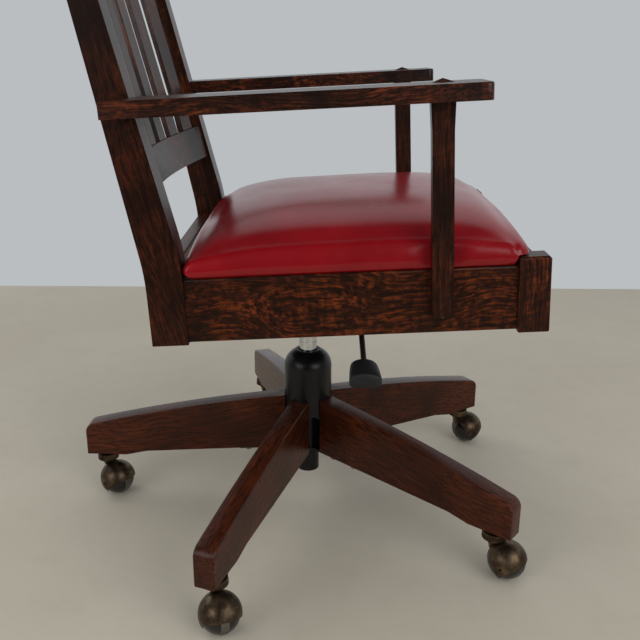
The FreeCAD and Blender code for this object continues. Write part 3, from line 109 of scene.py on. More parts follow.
def spoke_angle(k):
    """The direction of the spoke with this index, counted from 0."""
    return FIRST_SPOKE + k * FULL_TURN / SPOKES


# Materials.

FINE_RELIEF = 0.0003


class Tree:
    """A material's node tree, with one Principled shader."""

    def __init__(self, name):
        self.material = bpy.data.materials.new(name)
        self.material.use_nodes = True
        self.nodes = self.material.node_tree.nodes
        self.links = self.material.node_tree.links
        self.nodes.clear()
        output = self.nodes.new("ShaderNodeOutputMaterial")
        self.shader = self.nodes.new("ShaderNodeBsdfPrincipled")
        self.links.new(self.shader.outputs[0], output.inputs["Surface"])

    def put(self, socket, value):
        """Links another node's output to a socket, or sets a constant on it."""
        if isinstance(value, bpy.types.NodeSocket):
            self.links.new(value, socket)
        else:
            socket.default_value = value

    def add(self, kind, inputs=None, **settings):
        made = self.nodes.new("ShaderNode" + kind)
        for name, value in settings.items():
            setattr(made, name, value)
        for key, value in (inputs or {}).items():
            self.put(made.inputs[key], value)
        return made

    def shade(self, **values):
        """Sets the shader's inputs; an underscore stands for a space in a name."""
        for name, value in values.items():
            self.put(self.shader.inputs[name.replace("_", " ")], value)

    def coordinates(self, turn=(0.0, 0.0, 0.0), shift=(0.0, 0.0, 0.0)):
        """The object's own coordinates, turned and then shifted."""
        place = self.add("TexCoord").outputs["Object"]
        inputs = {"Vector": place, "Rotation": turn, "Location": shift}
        return self.add("Mapping", inputs).outputs[0]

    def noise(self, vector, scale, detail, roughness, distortion=0.0):
        made = self.add("TexNoise", {"Vector": vector, "Scale": scale, "Detail": detail,
                                     "Roughness": roughness, "Distortion": distortion})
        return made.outputs["Fac"]

    def streaks(self, vector, scales, detail, roughness, distortion=0.0):
        """A noise with a scale of its own along each axis."""
        stretched = self.add("Mapping", {"Vector": vector, "Scale": scales}).outputs[0]
        return self.noise(stretched, 1.0, detail, roughness, distortion)

    def ramp(self, value, *stops):
        made = self.add("ValToRGB", {"Fac": value})
        elements = made.color_ramp.elements
        while len(elements) < len(stops):
            elements.new(0.5)
        for element, (place, colour) in zip(elements, stops):
            element.position = place
            element.color = colour
        return made.outputs["Color"]

    def mask(self, value, low, high):
        """0 at low, 1 at high, and level beyond both; low may be the greater."""
        made = self.add("MapRange", {"Value": value, "From Min": low, "From Max": high})
        return made.outputs[0]

    def mix(self, amount, one, two):
        return self.add("MixRGB", {"Fac": amount, "Color1": one, "Color2": two}).outputs[0]

    def maths(self, operation, *values):
        made = self.add("Math", operation=operation)
        for socket, value in zip(made.inputs, values):
            self.put(socket, value)
        return made.outputs[0]

    def times(self, one, two):
        return self.maths("MULTIPLY", one, two)

    def plus(self, one, two):
        return self.maths("ADD", one, two)

    def bump(self, height, strength, distance=FINE_RELIEF):
        made = self.add("Bump", {"Height": height, "Strength": strength, "Distance": distance})
        self.links.new(made.outputs[0], self.shader.inputs["Normal"])


def srgb(text):
    """A colour from six hexadecimal digits, as linear values."""
    values = [int(text[i:i + 2], 16) / 255.0 for i in (0, 2, 4)]
    linear = (v / 12.92 if v <= 0.04045 else ((v + 0.055) / 1.055) ** 2.4 for v in values)
    return tuple(linear) + (1.0,)


OAK = {"dark": srgb("190c07"), "middle": srgb("34170b"), "fleck": srgb("743310")}
MAHOGANY = {"dark": srgb("281007"), "middle": srgb("4a200e"), "fleck": srgb("783712")}
PLAIN_WOOD = {"dark": srgb("4a3422"), "middle": srgb("64482f"), "fleck": srgb("7a5a3a")}

# The wood's patterns: scale along the grain and twice across it, detail, roughness, distortion.
WANDER = ((6.0, 10.0, 10.0), 1.0, 0.4)
DASHES = ((22.0, 360.0, 360.0), 2.0, 0.65, 0.25)
PORES = ((120.0, 1600.0, 1600.0), 1.0, 0.5)
BANDS = ((14.0, 190.0, 190.0), 2.0, 0.6, 0.3)
BLOTS = ((32.0, 140.0, 140.0), 1.0, 0.55, 0.4)
PATCHES = (12.0, 2.0, 0.5)
BLOT_SLANT = (0.0, 0.9, 1.1)
BAND_SHARE = 0.62
BLOT_SHARE = 0.38
# Where in a pattern's range each tone comes in.
TINT_RANGE = (0.44, 0.64)
TINTED_PATCHES = (0.28, 0.6)
LIGHT_PATCHES = (0.25, 0.7)
DASH_RANGE = (0.56, 0.42)
PORE_RANGE = (0.6, 0.7)
DASH_DEPTH = 0.82
PORE_DEPTH = 0.5
PORE_COLOUR = srgb("0b0504")
DASH_HEIGHT = 0.5
DASH_ROUGHNESS = 0.16
ROUGHNESS_DROP = 0.06
WOOD_BUMP = 0.16


def wood(name, turn, shift, dark, middle, fleck, flecks, swirl, rough=0.3, gloss=0.2):
    """Stained quartersawn oak under varnish.

    Everything follows flow lines: the grain's own direction, pushed aside by a slow wander. Along
    them run tinted bands, short dark dashes and fine pores, and some slanting flecks lie across.
    The turn brings the grain onto X.
    """
    tree = Tree(name)
    place = tree.coordinates(turn, shift)
    wander = tree.streaks(place, *WANDER)
    aside = tree.times(tree.maths("SUBTRACT", wander, 0.5), swirl)
    push = tree.add("CombineXYZ", {"Y": aside, "Z": aside}).outputs[0]
    flow = tree.add("VectorMath", {0: place, 1: push}, operation="ADD").outputs["Vector"]
    slanted = tree.add("Mapping", {"Vector": flow, "Rotation": BLOT_SLANT}).outputs[0]
    dashes = tree.streaks(flow, *DASHES)
    patches = tree.noise(place, *PATCHES)

    base = tree.mix(tree.mask(patches, *LIGHT_PATCHES), dark, middle)
    tint = tree.plus(tree.times(tree.streaks(flow, *BANDS), BAND_SHARE),
                     tree.times(tree.streaks(slanted, *BLOTS), BLOT_SHARE))
    shown = tree.times(tree.mask(tint, *TINT_RANGE), tree.mask(patches, *TINTED_PATCHES))
    coloured = tree.mix(tree.times(shown, flecks), base, fleck)
    dash = tree.mask(dashes, *DASH_RANGE)
    coloured = tree.mix(tree.times(dash, DASH_DEPTH), coloured, dark)
    hole = tree.mask(tree.streaks(flow, *PORES), *PORE_RANGE)
    coloured = tree.mix(tree.times(hole, PORE_DEPTH), coloured, PORE_COLOUR)

    tree.shade(Base_Color=coloured, Specular_IOR_Level=gloss)
    tree.shade(Roughness=tree.plus(rough - ROUGHNESS_DROP, tree.times(dashes, DASH_ROUGHNESS)))
    tree.bump(tree.maths("SUBTRACT", tree.times(dashes, DASH_HEIGHT), hole), WOOD_BUMP)
    return tree.material


# The leather: its grain's cells and wrinkles, slow clouds of colour, and worn places.
LEATHER_CELLS = 720.0
LEATHER_WRINKLES = (260.0, 4.0, 0.6)
LEATHER_CLOUDS = (9.0, 3.0, 0.55)
LEATHER_WEAR = (38.0, 4.0, 0.6)
LEATHER_TONES = ((0.3, srgb("760710")), (0.72, srgb("8a0914")))
WORN_TONE = srgb("8a0f1a")
WORN_RANGE = (0.45, 0.75)
WORN_SHARE = 0.3
LEATHER_GLOSS = 0.34
LEATHER_ROUGHNESS = (0.18, 0.1)
CELL_HEIGHT = 0.6
WRINKLE_HEIGHT = 0.5
LEATHER_BUMP = (0.07, 0.0005)


def leather():
    tree = Tree("red_leather")
    place = tree.coordinates()
    cells = tree.add("TexVoronoi", {"Vector": place, "Scale": LEATHER_CELLS}).outputs["Distance"]
    wrinkles = tree.noise(place, *LEATHER_WRINKLES)
    wear = tree.noise(place, *LEATHER_WEAR)
    colour = tree.ramp(tree.noise(place, *LEATHER_CLOUDS), *LEATHER_TONES)
    worn = tree.times(tree.mask(wear, *WORN_RANGE), WORN_SHARE)
    tree.shade(Base_Color=tree.mix(worn, colour, WORN_TONE), Specular_IOR_Level=LEATHER_GLOSS)
    least, spread = LEATHER_ROUGHNESS
    tree.shade(Roughness=tree.plus(least, tree.times(wear, spread)))
    height = tree.plus(tree.times(cells, CELL_HEIGHT), tree.times(wrinkles, WRINKLE_HEIGHT))
    tree.bump(height, *LEATHER_BUMP)
    return tree.material


ENAMEL_CLOUDS = (40.0, 4.0, 0.6)
ENAMEL_SPECKS = (900.0, 2.0, 0.5)
DUST = srgb("46423d")
DUST_RANGE = (0.45, 0.8)
ENAMEL_GLOSS = 0.3
ENAMEL_SPREAD = 0.16
ENAMEL_BUMP = 0.08


def enamel(name, colour, rough, dust):
    """A dark satin coat or plastic with a little uneven dust."""
    tree = Tree(name)
    place = tree.coordinates()
    cloud = tree.noise(place, *ENAMEL_CLOUDS)
    dusty = tree.times(tree.mask(cloud, *DUST_RANGE), dust)
    tree.shade(Base_Color=tree.mix(dusty, colour, DUST), Specular_IOR_Level=ENAMEL_GLOSS)
    tree.shade(Roughness=tree.plus(rough, tree.times(cloud, ENAMEL_SPREAD)))
    tree.bump(tree.noise(place, *ENAMEL_SPECKS), ENAMEL_BUMP)
    return tree.material


METAL_CLOUDS = (4.0, 0.6)
METAL_FINE = (3.0, 0.55)
FINE_TIMES = 12.0
METAL_RANGE = (0.38, 0.64)


def metal(name, colour, second, rough, scale, bump):
    """A bare or plated metal, its tint and polish uneven in patches."""
    tree = Tree(name)
    place = tree.coordinates()
    cloud = tree.noise(place, scale, *METAL_CLOUDS)
    fine = tree.noise(place, scale * FINE_TIMES, *METAL_FINE)
    tree.shade(Base_Color=tree.mix(tree.mask(cloud, *METAL_RANGE), colour, second), Metallic=1.0)
    tree.shade(Roughness=tree.plus(rough, tree.times(fine, rough)))
    tree.bump(fine, bump)
    return tree.material


PATINA_CLOUDS = (60.0, 5.0, 0.65)
PATINA_FINE = (420.0, 3.0, 0.6)
PATINA_TONES = ((0.34, srgb("302620")), (0.5, srgb("524334")), (0.7, srgb("7a6650")))
SPOT_TONE = srgb("281e17")
SPOT_RANGE = (0.56, 0.7)
SPOT_SHARE = 0.5
BRASS_METALLIC = 0.9
BRASS_ROUGHNESS = 0.26
BRASS_BUMP = 0.1


def aged_brass():
    """Brass gone brown: patina in patches and spots, and rubbed paler places."""
    tree = Tree("aged_brass")
    place = tree.coordinates()
    cloud = tree.noise(place, *PATINA_CLOUDS)
    fine = tree.noise(place, *PATINA_FINE)
    spots = tree.times(tree.mask(fine, *SPOT_RANGE), SPOT_SHARE)
    colour = tree.mix(spots, tree.ramp(cloud, *PATINA_TONES), SPOT_TONE)
    tree.shade(Base_Color=colour, Metallic=BRASS_METALLIC)
    tree.shade(Roughness=tree.plus(BRASS_ROUGHNESS, tree.times(cloud, BRASS_ROUGHNESS)))
    tree.bump(fine, BRASS_BUMP)
    return tree.material


TREAD_HALF_WIDTH = 0.0055
TREAD_BLUR = 0.0002
TREAD_TONES = ((0.3, srgb("3f3731")), (0.7, srgb("5c5248")))
TREAD_ROUGHNESS = 0.35
WHEEL_BLACK = srgb("141110")
WHEEL_DUST = (90.0, 5.0, 0.65)
WHEEL_DUST_TONE = srgb("5a5148")
WHEEL_DUST_RANGE = (0.5, 0.8)
WHEEL_DUST_SHARE = 0.15
WHEEL_SCUFFS = (600.0, 3.0, 0.6)
WHEEL_ROUGHNESS = (0.14, 0.1)
WHEEL_BUMP = (0.06, 0.0002)


def wheel_black(name, centre, axle):
    """A glossy black ball with a paler, scuffed tread round its middle, square to the axle."""
    tree = Tree(name)
    place = tree.add("TexCoord").outputs["Object"]
    offset = tree.add("VectorMath", {0: place, 1: centre}, operation="SUBTRACT").outputs["Vector"]
    along = tree.add("VectorMath", {0: offset, 1: axle}, operation="DOT_PRODUCT").outputs["Value"]
    tread = tree.mask(tree.maths("ABSOLUTE", along), TREAD_HALF_WIDTH + TREAD_BLUR,
                      TREAD_HALF_WIDTH - TREAD_BLUR)
    dust = tree.noise(place, *WHEEL_DUST)
    scuffs = tree.noise(place, *WHEEL_SCUFFS)
    dusty = tree.times(tree.mask(dust, *WHEEL_DUST_RANGE), WHEEL_DUST_SHARE)
    black = tree.mix(dusty, WHEEL_BLACK, WHEEL_DUST_TONE)
    tree.shade(Base_Color=tree.mix(tread, black, tree.ramp(dust, *TREAD_TONES)))
    least, spread = WHEEL_ROUGHNESS
    shine = tree.plus(least, tree.times(scuffs, spread))
    tree.shade(Roughness=tree.plus(shine, tree.times(tread, TREAD_ROUGHNESS)))
    tree.bump(scuffs, *WHEEL_BUMP)
    return tree.material


# The solids' own nodes: their materials and softened edges.

def paint(names, material):
    for name in names:
        slots = NODES[name].data.materials
        slots.clear()
        slots.append(material)


WELD_DISTANCE = 0.000005
EDGE_WIDTH = 0.0009
EDGE_SEGMENTS = 2
EDGE_ANGLE = math.radians(32.0)


def ease(name):
    """Softens a node's hard edges: equal corners are joined first, so that the edges are found."""
    item = NODES[name]
    item.modifiers.new("Weld", "WELD").merge_threshold = WELD_DISTANCE
    bevel = item.modifiers.new("Bevel", "BEVEL")
    bevel.width = EDGE_WIDTH
    bevel.segments = EDGE_SEGMENTS
    bevel.limit_method = "ANGLE"
    bevel.angle_limit = EDGE_ANGLE


def grain_turn(direction):
    """The rotation that brings a direction onto X, for a Mapping node."""
    return tuple(direction.rotation_difference(ALONG_X).to_euler("XYZ"))


# For each kind of board: share of flecks, sway of the grain, gloss.
RAIL = (0.9, 0.1, 0.17)
BLOCK = (0.85, 0.05, 0.2)
LEFT_POST = (0.5, 0.05, 0.2)
RIGHT_POST = (0.26, 0.05, 0.17)
LOWER_BACK = (0.6, 0.05, 0.42)
UPPER_BACK = (0.8, 0.09, 0.3)
ARM = (0.8, 0.08, 0.28)
ARM_POST = (0.25, 0.02, 0.2)
SLAT = (0.5, 0.03, 0.4)
SPOKE_LOOK = {"flecks": 0.24, "swirl": 0.05, "rough": 0.26, "gloss": 0.22}
PLAIN_LOOK = {"flecks": 0.2, "swirl": 0.03, "rough": 0.5}
# Each board's pattern is shifted from the last one's, so that no two are alike.
BOARD_SHIFT = (0.37, 0.53, 0.71)
SPOKE_SHIFT = (0.31, 0.47, 0.67)
SPOKE_START = (0.0, 0.0, 1.3)
SPOKE_FALL = -0.18


def shifted(step, count, start=(0.0, 0.0, 0.0)):
    return tuple(first + part * count for first, part in zip(start, step))


def woods():
    seat_axes = SEAT.to_3x3()
    along_y = seat_axes @ ALONG_Y
    upright = seat_axes @ UP
    leaning = BACK.to_3x3() @ UP
    boards = [
        ("side_rail_left", along_y, RAIL), ("side_rail_right", along_y, RAIL),
        ("front_rail", ALONG_X, RAIL), ("rear_rail", ALONG_X, RAIL),
        ("front_block_left", upright, BLOCK), ("front_block_right", upright, BLOCK),
        ("rear_post_left", leaning, LEFT_POST), ("rear_post_right", leaning, RIGHT_POST),
        ("lower_back_rail", ALONG_X, LOWER_BACK), ("upper_back_rail", ALONG_X, UPPER_BACK),
        ("arm_left", along_y, ARM), ("arm_right", along_y, ARM),
        ("arm_post_left", upright, ARM_POST), ("arm_post_right", upright, ARM_POST),
    ]
    boards += [("back_slat_%d" % k, leaning, SLAT) for k in range(1, SLATS + 1)]
    for i, (name, way, (flecks, swirl, gloss)) in enumerate(boards):
        paint([name], wood("oak_" + name, grain_turn(way), shifted(BOARD_SHIFT, i),
                           flecks=flecks, swirl=swirl, gloss=gloss, **OAK))
        ease(name)
    for k in range(SPOKES):
        name = "spoke_%d" % (k + 1)
        way = heading(spoke_angle(k)) + UP * SPOKE_FALL
        shift = shifted(SPOKE_SHIFT, k, SPOKE_START)
        paint([name], wood("stained_" + name, grain_turn(way), shift, **SPOKE_LOOK, **MAHOGANY))
        ease(name)
    plain = wood("plain_wood", grain_turn(ALONG_X), (0.0, 0.0, 0.0), **PLAIN_LOOK, **PLAIN_WOOD)
    paint(["frame_blocks", "seat_board"], plain)


# Coats: colour, roughness, share of dust. Metals: two tints, roughness, scale and bump.
ENAMEL_COAT = (srgb("0a0a0a"), 0.26, 0.1)
TRAY_COAT = (srgb("1b1b1c"), 0.4, 0.25)
LEVER_COAT = (srgb("2a2320"), 0.3, 0.2)
PLASTIC = (srgb("1b1b1c"), 0.42, 0.1)
CHROME = (srgb("d8dadc"), srgb("c4c7ca"), 0.07, 30.0, 0.02)
STEEL = (srgb("9a9a98"), srgb("7f7f7d"), 0.25, 50.0, 0.08)
STEM_STEEL = (srgb("3c3733"), srgb("2c2825"), 0.3, 50.0, 0.08)
STEEL_NODES = ("piston_rod", "rod_hardware", "release_pin", "tilt_pin", "base_hardware",
               "seat_screws")


def metals():
    paint(["hub_spider", "hub_cover"], enamel("black_enamel", *ENAMEL_COAT))
    paint(["mechanism_housing", "seat_plate"], enamel("tray_enamel", *TRAY_COAT))
    paint(["pressure_tube"], metal("chrome_tube", *CHROME))
    steel = metal("steel", *STEEL)
    paint(STEEL_NODES, steel)
    coil_spring(steel)
    brass = aged_brass()
    for k in range(1, SPOKES + 1):
        paint(["caster_hood_%d" % k], brass)
        paint(["caster_stem_%d" % k], metal("stem_steel_%d" % k, *STEM_STEEL))
        trail = math.radians(TRAIL_ANGLES[k - 1])
        centre = heading(spoke_angle(k - 1)) * STEM_CIRCLE + heading(trail) * BALL_OFFSET
        centre.z = BALL_RADIUS
        to_local = NODES["caster_wheel_%d" % k].matrix_world.inverted()
        axle = to_local.to_3x3() @ Vector((-math.sin(trail), math.cos(trail), 0.0))
        paint(["caster_wheel_%d" % k], wheel_black("wheel_black_%d" % k, to_local @ centre, axle))
    paint(["lever_rod"], enamel("lever_steel", *LEVER_COAT))
    plastic = enamel("black_plastic", *PLASTIC)
    paint(["tension_knob", "guide_bush"], plastic)
    paddle(plastic)


# The pieces with a form of their own.

def link(name, data):
    item = bpy.data.objects.new(name, data)
    bpy.context.scene.collection.objects.link(item)
    return item


def new_piece(name, mesh, material):
    """A smooth object from a closed mesh."""
    data = bpy.data.meshes.new(name)
    bmesh.ops.recalc_face_normals(mesh, faces=mesh.faces[:])
    mesh.to_mesh(data)
    mesh.free()
    for face in data.polygons:
        face.use_smooth = True
    data.materials.append(material)
    return link(name, data)


def skin(rings, mesh):
    """Vertices for each ring of points, and faces from ring to ring."""
    rows = [[mesh.verts.new(point) for point in ring] for ring in rings]
    count = len(rows[0])
    for low, high in zip(rows, rows[1:]):
        for i in range(count):
            j = (i + 1) % count
            mesh.faces.new((low[i], low[j], high[j], high[i]))
    return rows


def tube(rings):
    """A mesh through rings of points, with a cap at each end."""
    mesh = bmesh.new()
    rows = skin(rings, mesh)
    mesh.faces.new(rows[0])
    mesh.faces.new(list(reversed(rows[-1])))
    return mesh


SPRING_WIRE = 0.0015
SPRING_TURNS = 4
SPRING_STEPS = 24
SPRING_SIDES = 10


def coil_spring(material):
    """The tilt's spring, of round wire, which shortens as the seat leans back."""
    low, high = (Vector(corner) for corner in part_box("tension_spring"))
    centre = (low + high) / 2.0
    radius = (high.x - low.x) / 2.0 - SPRING_WIRE
    foot = low.z + SPRING_WIRE
    rise = high.z - SPRING_WIRE - foot
    steps = SPRING_TURNS * SPRING_STEPS
    rings = []
    for i in range(steps + 1):
        out = heading(FULL_TURN * i / SPRING_STEPS)
        middle = Vector((centre.x, centre.y, foot + rise * i / steps)) + out * radius
        ring = []
        for k in range(SPRING_SIDES):
            angle = FULL_TURN * k / SPRING_SIDES
            aside = out * (SPRING_WIRE * math.cos(angle))
            ring.append(middle + aside + UP * (SPRING_WIRE * math.sin(angle)))
        rings.append(ring)
    item = new_piece("coil_spring", tube(rings), material)
    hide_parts("tension_spring")
    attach(item, "lift")
    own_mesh(item)


PADDLE_SIDES = 48
# How far the top falls from its middle to its sides, and how square the section is.
PADDLE_SAG = 0.0046
PADDLE_POWER = 5.0
# Sections from the near end to the far end: place along, width and height, as shares.
PADDLE_SECTIONS = (
    (0.0, 0.93, 0.88), (0.012, 0.965, 0.93), (0.035, 0.988, 0.97), (0.08, 1.0, 1.0),
    (0.3, 0.985, 1.0), (0.55, 0.95, 0.99), (0.78, 0.90, 0.97), (0.92, 0.85, 0.94),
    (0.975, 0.81, 0.88), (1.0, 0.74, 0.78))


def paddle(material):
    """The lever's black tab: its top is arched from side to side, and it narrows to the rod."""
    low, high = (Vector(corner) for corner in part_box("lever_paddle"))
    size = high - low
    middle_y = (low.y + high.y) / 2.0
    middle_z = (low.z + high.z) / 2.0
    rings = []
    for along, width, height in PADDLE_SECTIONS:
        ring = []
        for k in range(PADDLE_SIDES):
            angle = FULL_TURN * k / PADDLE_SIDES
            c, s = math.cos(angle), math.sin(angle)
            reach = (abs(c) ** PADDLE_POWER + abs(s) ** PADDLE_POWER) ** (-1.0 / PADDLE_POWER)
            across, up = c * reach, s * reach
            drop = PADDLE_SAG * across * across * max(0.0, (up + 1.0) / 2.0)
            ring.append(Vector((low.x + size.x * along, middle_y + across * width * size.y / 2.0,
                                middle_z + up * height * size.z / 2.0 - drop)))
        rings.append(ring)
    item = new_piece("paddle", tube(rings), material)
    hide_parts("lever_paddle")
    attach(item, "lever")


# The cushion, in the seat's frame. Its plan is a rectangle with rounded corners.

CUSHION_HALF = 0.2388
CUSHION_FRONT = -0.2825
CUSHION_REAR = 0.1476
CUSHION_MIDDLE = (CUSHION_FRONT + CUSHION_REAR) / 2.0
CUSHION_LENGTH = (CUSHION_REAR - CUSHION_FRONT) / 2.0
FRONT_CORNER = 0.020
REAR_CORNER = 0.007
# The corners in order round the plan: side, end and radius.
CORNERS = ((1, 1, REAR_CORNER), (-1, 1, REAR_CORNER), (-1, -1, FRONT_CORNER), (1, -1, FRONT_CORNER))
CORNER_WIDENING = 0.3
CORNER_STEPS = 16
SIDE_STEPS = 104

# Heights: the foot on the rails, the ridge at the corners and along the sides, and the crown.
CUSHION_FOOT = 0.0838
CUSHION_CORNER_RIDGE = 0.1010
CUSHION_RIDGE = 0.1165
CUSHION_CROWN = 0.1525
ARCH_POWER = 3
CROWN_SIDE_POWER = 3.1
CROWN_FRONT_POWER = 4.1
CROWN_REAR_POWER = 3.6
CROWN_FULLNESS = 0.81
# The dip just inside the ridge: depth, distance in from the widest line, and width.
DIP_DEPTH = 0.0036
DIP_PLACE = 0.017
DIP_WIDTH = 0.013
# The side's roll: how far up the side, and how far in from the widest line.
SIDE_ROLL = ((0.0, 0.0048), (0.08, 0.0030), (0.2, 0.0010), (0.34, 0.0), (0.5, 0.0003),
             (0.64, 0.0014), (0.76, 0.0030), (0.87, 0.0052), (0.95, 0.0078), (1.0, 0.0105))
TOP_INSETS = (0.0135, 0.017, 0.021, 0.0255, 0.0305, 0.036, 0.043, 0.051, 0.061, 0.073, 0.088,
              0.106, 0.127, 0.150, 0.172, 0.190, 0.202)


def smooth(value, low, high):
    """0 at low, 1 at high, with an easy start and end."""
    t = min(1.0, max(0.0, (value - low) / (high - low)))
    return t * t * (3.0 - 2.0 * t)


def cushion_ring(inset):
    """Points round the cushion's plan, at a distance in from its widest line."""
    half = CUSHION_HALF - inset
    length = CUSHION_LENGTH - inset
    arcs = []
    for quarter, (side, end, radius) in enumerate(CORNERS):
        radius = min(radius + CORNER_WIDENING * inset, half, length)
        corner = Vector((side * (half - radius), end * (length - radius), 0.0))
        start = 0.5 * quarter * math.pi
        arcs.append([corner + heading(start + 0.5 * math.pi * i / CORNER_STEPS) * radius
                     for i in range(CORNER_STEPS + 1)])
    ring = []
    for arc, after in zip(arcs, arcs[1:] + arcs[:1]):
        ring += arc
        for i in range(1, SIDE_STEPS):
            # closer together near the corners, where the leather is drawn round the blocks
            part = 0.5 - 0.5 * math.cos(math.pi * i / SIDE_STEPS)
            part = 0.5 * part + 0.5 * i / SIDE_STEPS
            ring.append(arc[-1].lerp(after[0], part))
    return [Vector((p.x, p.y + CUSHION_MIDDLE, 0.0)) for p in ring]


def plan_shares(x, y):
    """How far out a point lies, across and along, as shares of the plan's half sizes."""
    return (min(abs(x) / CUSHION_HALF, 1.0),
            min(abs(y - CUSHION_MIDDLE) / CUSHION_LENGTH, 1.0))


def cushion_arch(x, y):
    """1 along the middle of each side, 0 at the plan's corners."""
    u, v = plan_shares(x, y)
    return 1.0 - (u * v) ** ARCH_POWER


def crown_height(x, y):
    """The crowned top: flat in the middle, falling away to the sides."""
    u, v = plan_shares(x, y)
    end_power = CROWN_FRONT_POWER if y < CUSHION_MIDDLE else CROWN_REAR_POWER
    base = CUSHION_CORNER_RIDGE + (CUSHION_RIDGE - CUSHION_CORNER_RIDGE) * cushion_arch(x, y)
    rise = (1.0 - u ** CROWN_SIDE_POWER) * (1.0 - v ** end_power)
    return base + (CUSHION_CROWN - base) * max(rise, 0.0) ** CROWN_FULLNESS


def top_height(point, inset):
    """The crown, less the dip just inside the ridge."""
    dip = DIP_DEPTH * math.exp(-((inset - DIP_PLACE) / DIP_WIDTH) ** 2)
    return crown_height(point.x, point.y) - dip * cushion_arch(point.x, point.y)


# Small folds fan out from where the leather is tucked in: place, reach and depth.
FRONT_PLEATS = (Vector((CUSHION_HALF, BLOCK_REAR, BLOCK_TOP)), 0.046, 0.0010)
REAR_PLEATS = (Vector((CUSHION_HALF, CUSHION_REAR, 0.098)), 0.040, 0.0008)
PLEAT_FOLDS = 7.0
PLEAT_FULL = 0.2
PLEAT_START = 0.006


def pleats(place, origin, reach, depth):
    away = place - origin
    far = 1.0 - smooth(away.length, PLEAT_FULL * reach, reach)
    fade = far * smooth(away.length, 0.0, PLEAT_START)
    return depth * math.cos(math.atan2(away.z, away.y) * PLEAT_FOLDS) * fade


# Where the leather starts and ends to climb onto a front block, from its inner and rear face.
BLOCK_SIDE_CLIMB = (0.006, 0.001)
BLOCK_REAR_CLIMB = (0.0034, 0.0005)
BLOCK_GAP = 0.0010
# Points this near the ridge only rest on the block; those below are also lifted a little.
RIDGE_SHARE = 0.02
SIDE_LIFT = 0.004
# The arm post presses the side in, beside it and for a way before and behind it.
POST_FADE = (0.003, 0.03)
POST_GAP = 0.0006
PRESSED_WIDTH = 0.004
UNEVEN_SCALE = 14.0
UNEVEN_DEPTH = 0.0008
FIRM_HEIGHT = 0.008
PLEAT_INWARD = 0.5
PLEAT_SIDE = (0.15, 0.22)


def cushion_shape(x, y, z):
    """Moves a point for the front blocks, the arm posts, the pleats and a small unevenness."""
    over = (smooth(abs(x), *(BLOCK_INNER - gap for gap in BLOCK_SIDE_CLIMB))
            * smooth(-y, *(-BLOCK_REAR - gap for gap in BLOCK_REAR_CLIMB)))
    lowest = CUSHION_FOOT + (BLOCK_TOP + BLOCK_GAP - CUSHION_FOOT) * over
    below = min(1.0, max(0.0, (CUSHION_RIDGE - z) / (CUSHION_RIDGE - CUSHION_FOOT)))
    lift = 0.0 if below < RIDGE_SHARE else (1.0 - below) * SIDE_LIFT * over
    z = max(z, lowest + lift)
    before, after = (ARM_POST_WIDTH / 2.0 + gap for gap in POST_FADE)
    near_post = 1.0 - smooth(abs(y - ARM_POST_PLACE), before, after)
    limit = POST_INNER_FACE - POST_GAP
    if abs(x) > limit - PRESSED_WIDTH:
        pressed = min(abs(x), limit)
        x = math.copysign(abs(x) + (pressed - abs(x)) * near_post, x)
    place = Vector((abs(x), y, z))
    fold = pleats(place, *FRONT_PLEATS) + pleats(place, *REAR_PLEATS)
    uneven = noise.noise(Vector((x, y, z)) * UNEVEN_SCALE) * UNEVEN_DEPTH
    firm = smooth(z, lowest, lowest + FIRM_HEIGHT)
    inward = -abs(fold) if near_post > 0.0 else fold
    x += math.copysign(PLEAT_INWARD * inward * firm * smooth(abs(x), *PLEAT_SIDE), x)
    z += (fold + uneven) * firm
    return Vector((x, y, z))


def cushion():
    """A leather pad drawn tight over its frame.

    The crowned top falls to a soft ridge, low at the corners and high along each side; below the
    ridge the side rolls out and in again to its foot on the rails.
    """
    ridge_inset = SIDE_ROLL[-1][1]
    ridge = [top_height(point, ridge_inset) for point in cushion_ring(ridge_inset)]
    rings = [[Vector((p.x, p.y, CUSHION_FOOT + (high - CUSHION_FOOT) * part))
              for p, high in zip(cushion_ring(inset), ridge)] for part, inset in SIDE_ROLL]
    rings += [[Vector((p.x, p.y, top_height(p, inset))) for p in cushion_ring(inset)]
              for inset in TOP_INSETS]
    mesh = bmesh.new()
    rows = skin([[cushion_shape(*p) for p in ring] for ring in rings], mesh)
    foot = mesh.verts.new((0.0, CUSHION_MIDDLE, CUSHION_FOOT))
    crown = mesh.verts.new(cushion_shape(0.0, CUSHION_MIDDLE, crown_height(0.0, CUSHION_MIDDLE)))
    count = len(rows[0])
    for i in range(count):
        j = (i + 1) % count
        mesh.faces.new((rows[0][j], rows[0][i], foot))
        mesh.faces.new((rows[-1][i], rows[-1][j], crown))
    item = new_piece("cushion", mesh, leather())
    item.data.transform(SEAT)
    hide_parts("seat_cushion")
    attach(item, "seat")


# The set.

FLOOR_CLOUDS = (1.6, 5.0, 0.6)
FLOOR_FINE = (22.0, 5.0, 0.65)
FLOOR_TONES = ((0.3, srgb("b3ac9c")), (0.7, srgb("beb7a9")))
FLOOR_MARK = srgb("a59e8e")
FLOOR_MARK_RANGE = (0.5, 0.75)
FLOOR_MARK_SHARE = 0.25
FLOOR_ROUGHNESS = 0.6
FLOOR_GLOSS = 0.3
# The wall's colour begins where the floor ends, as far behind the chair as in the photograph.
FLOOR_HALF = 1.2

WALL = srgb("babec1")
WHITE = (1.0, 1.0, 1.0, 1.0)
# Strengths of the light from low and high round about, and of what is mirrored.
LOW_LIGHT = 0.52
HIGH_LIGHT = 0.62
LIGHT_HEIGHTS = (0.2, 0.8)
MIRRORED_WALL = 1.28
MIRRORED_DIM = 0.08
# Where in reflections the pale wall fades in, towards +X, and fades out, towards the ceiling.
WALL_FADE = (-0.5, 0.7)
CEILING_FADE = (0.86, 0.62)

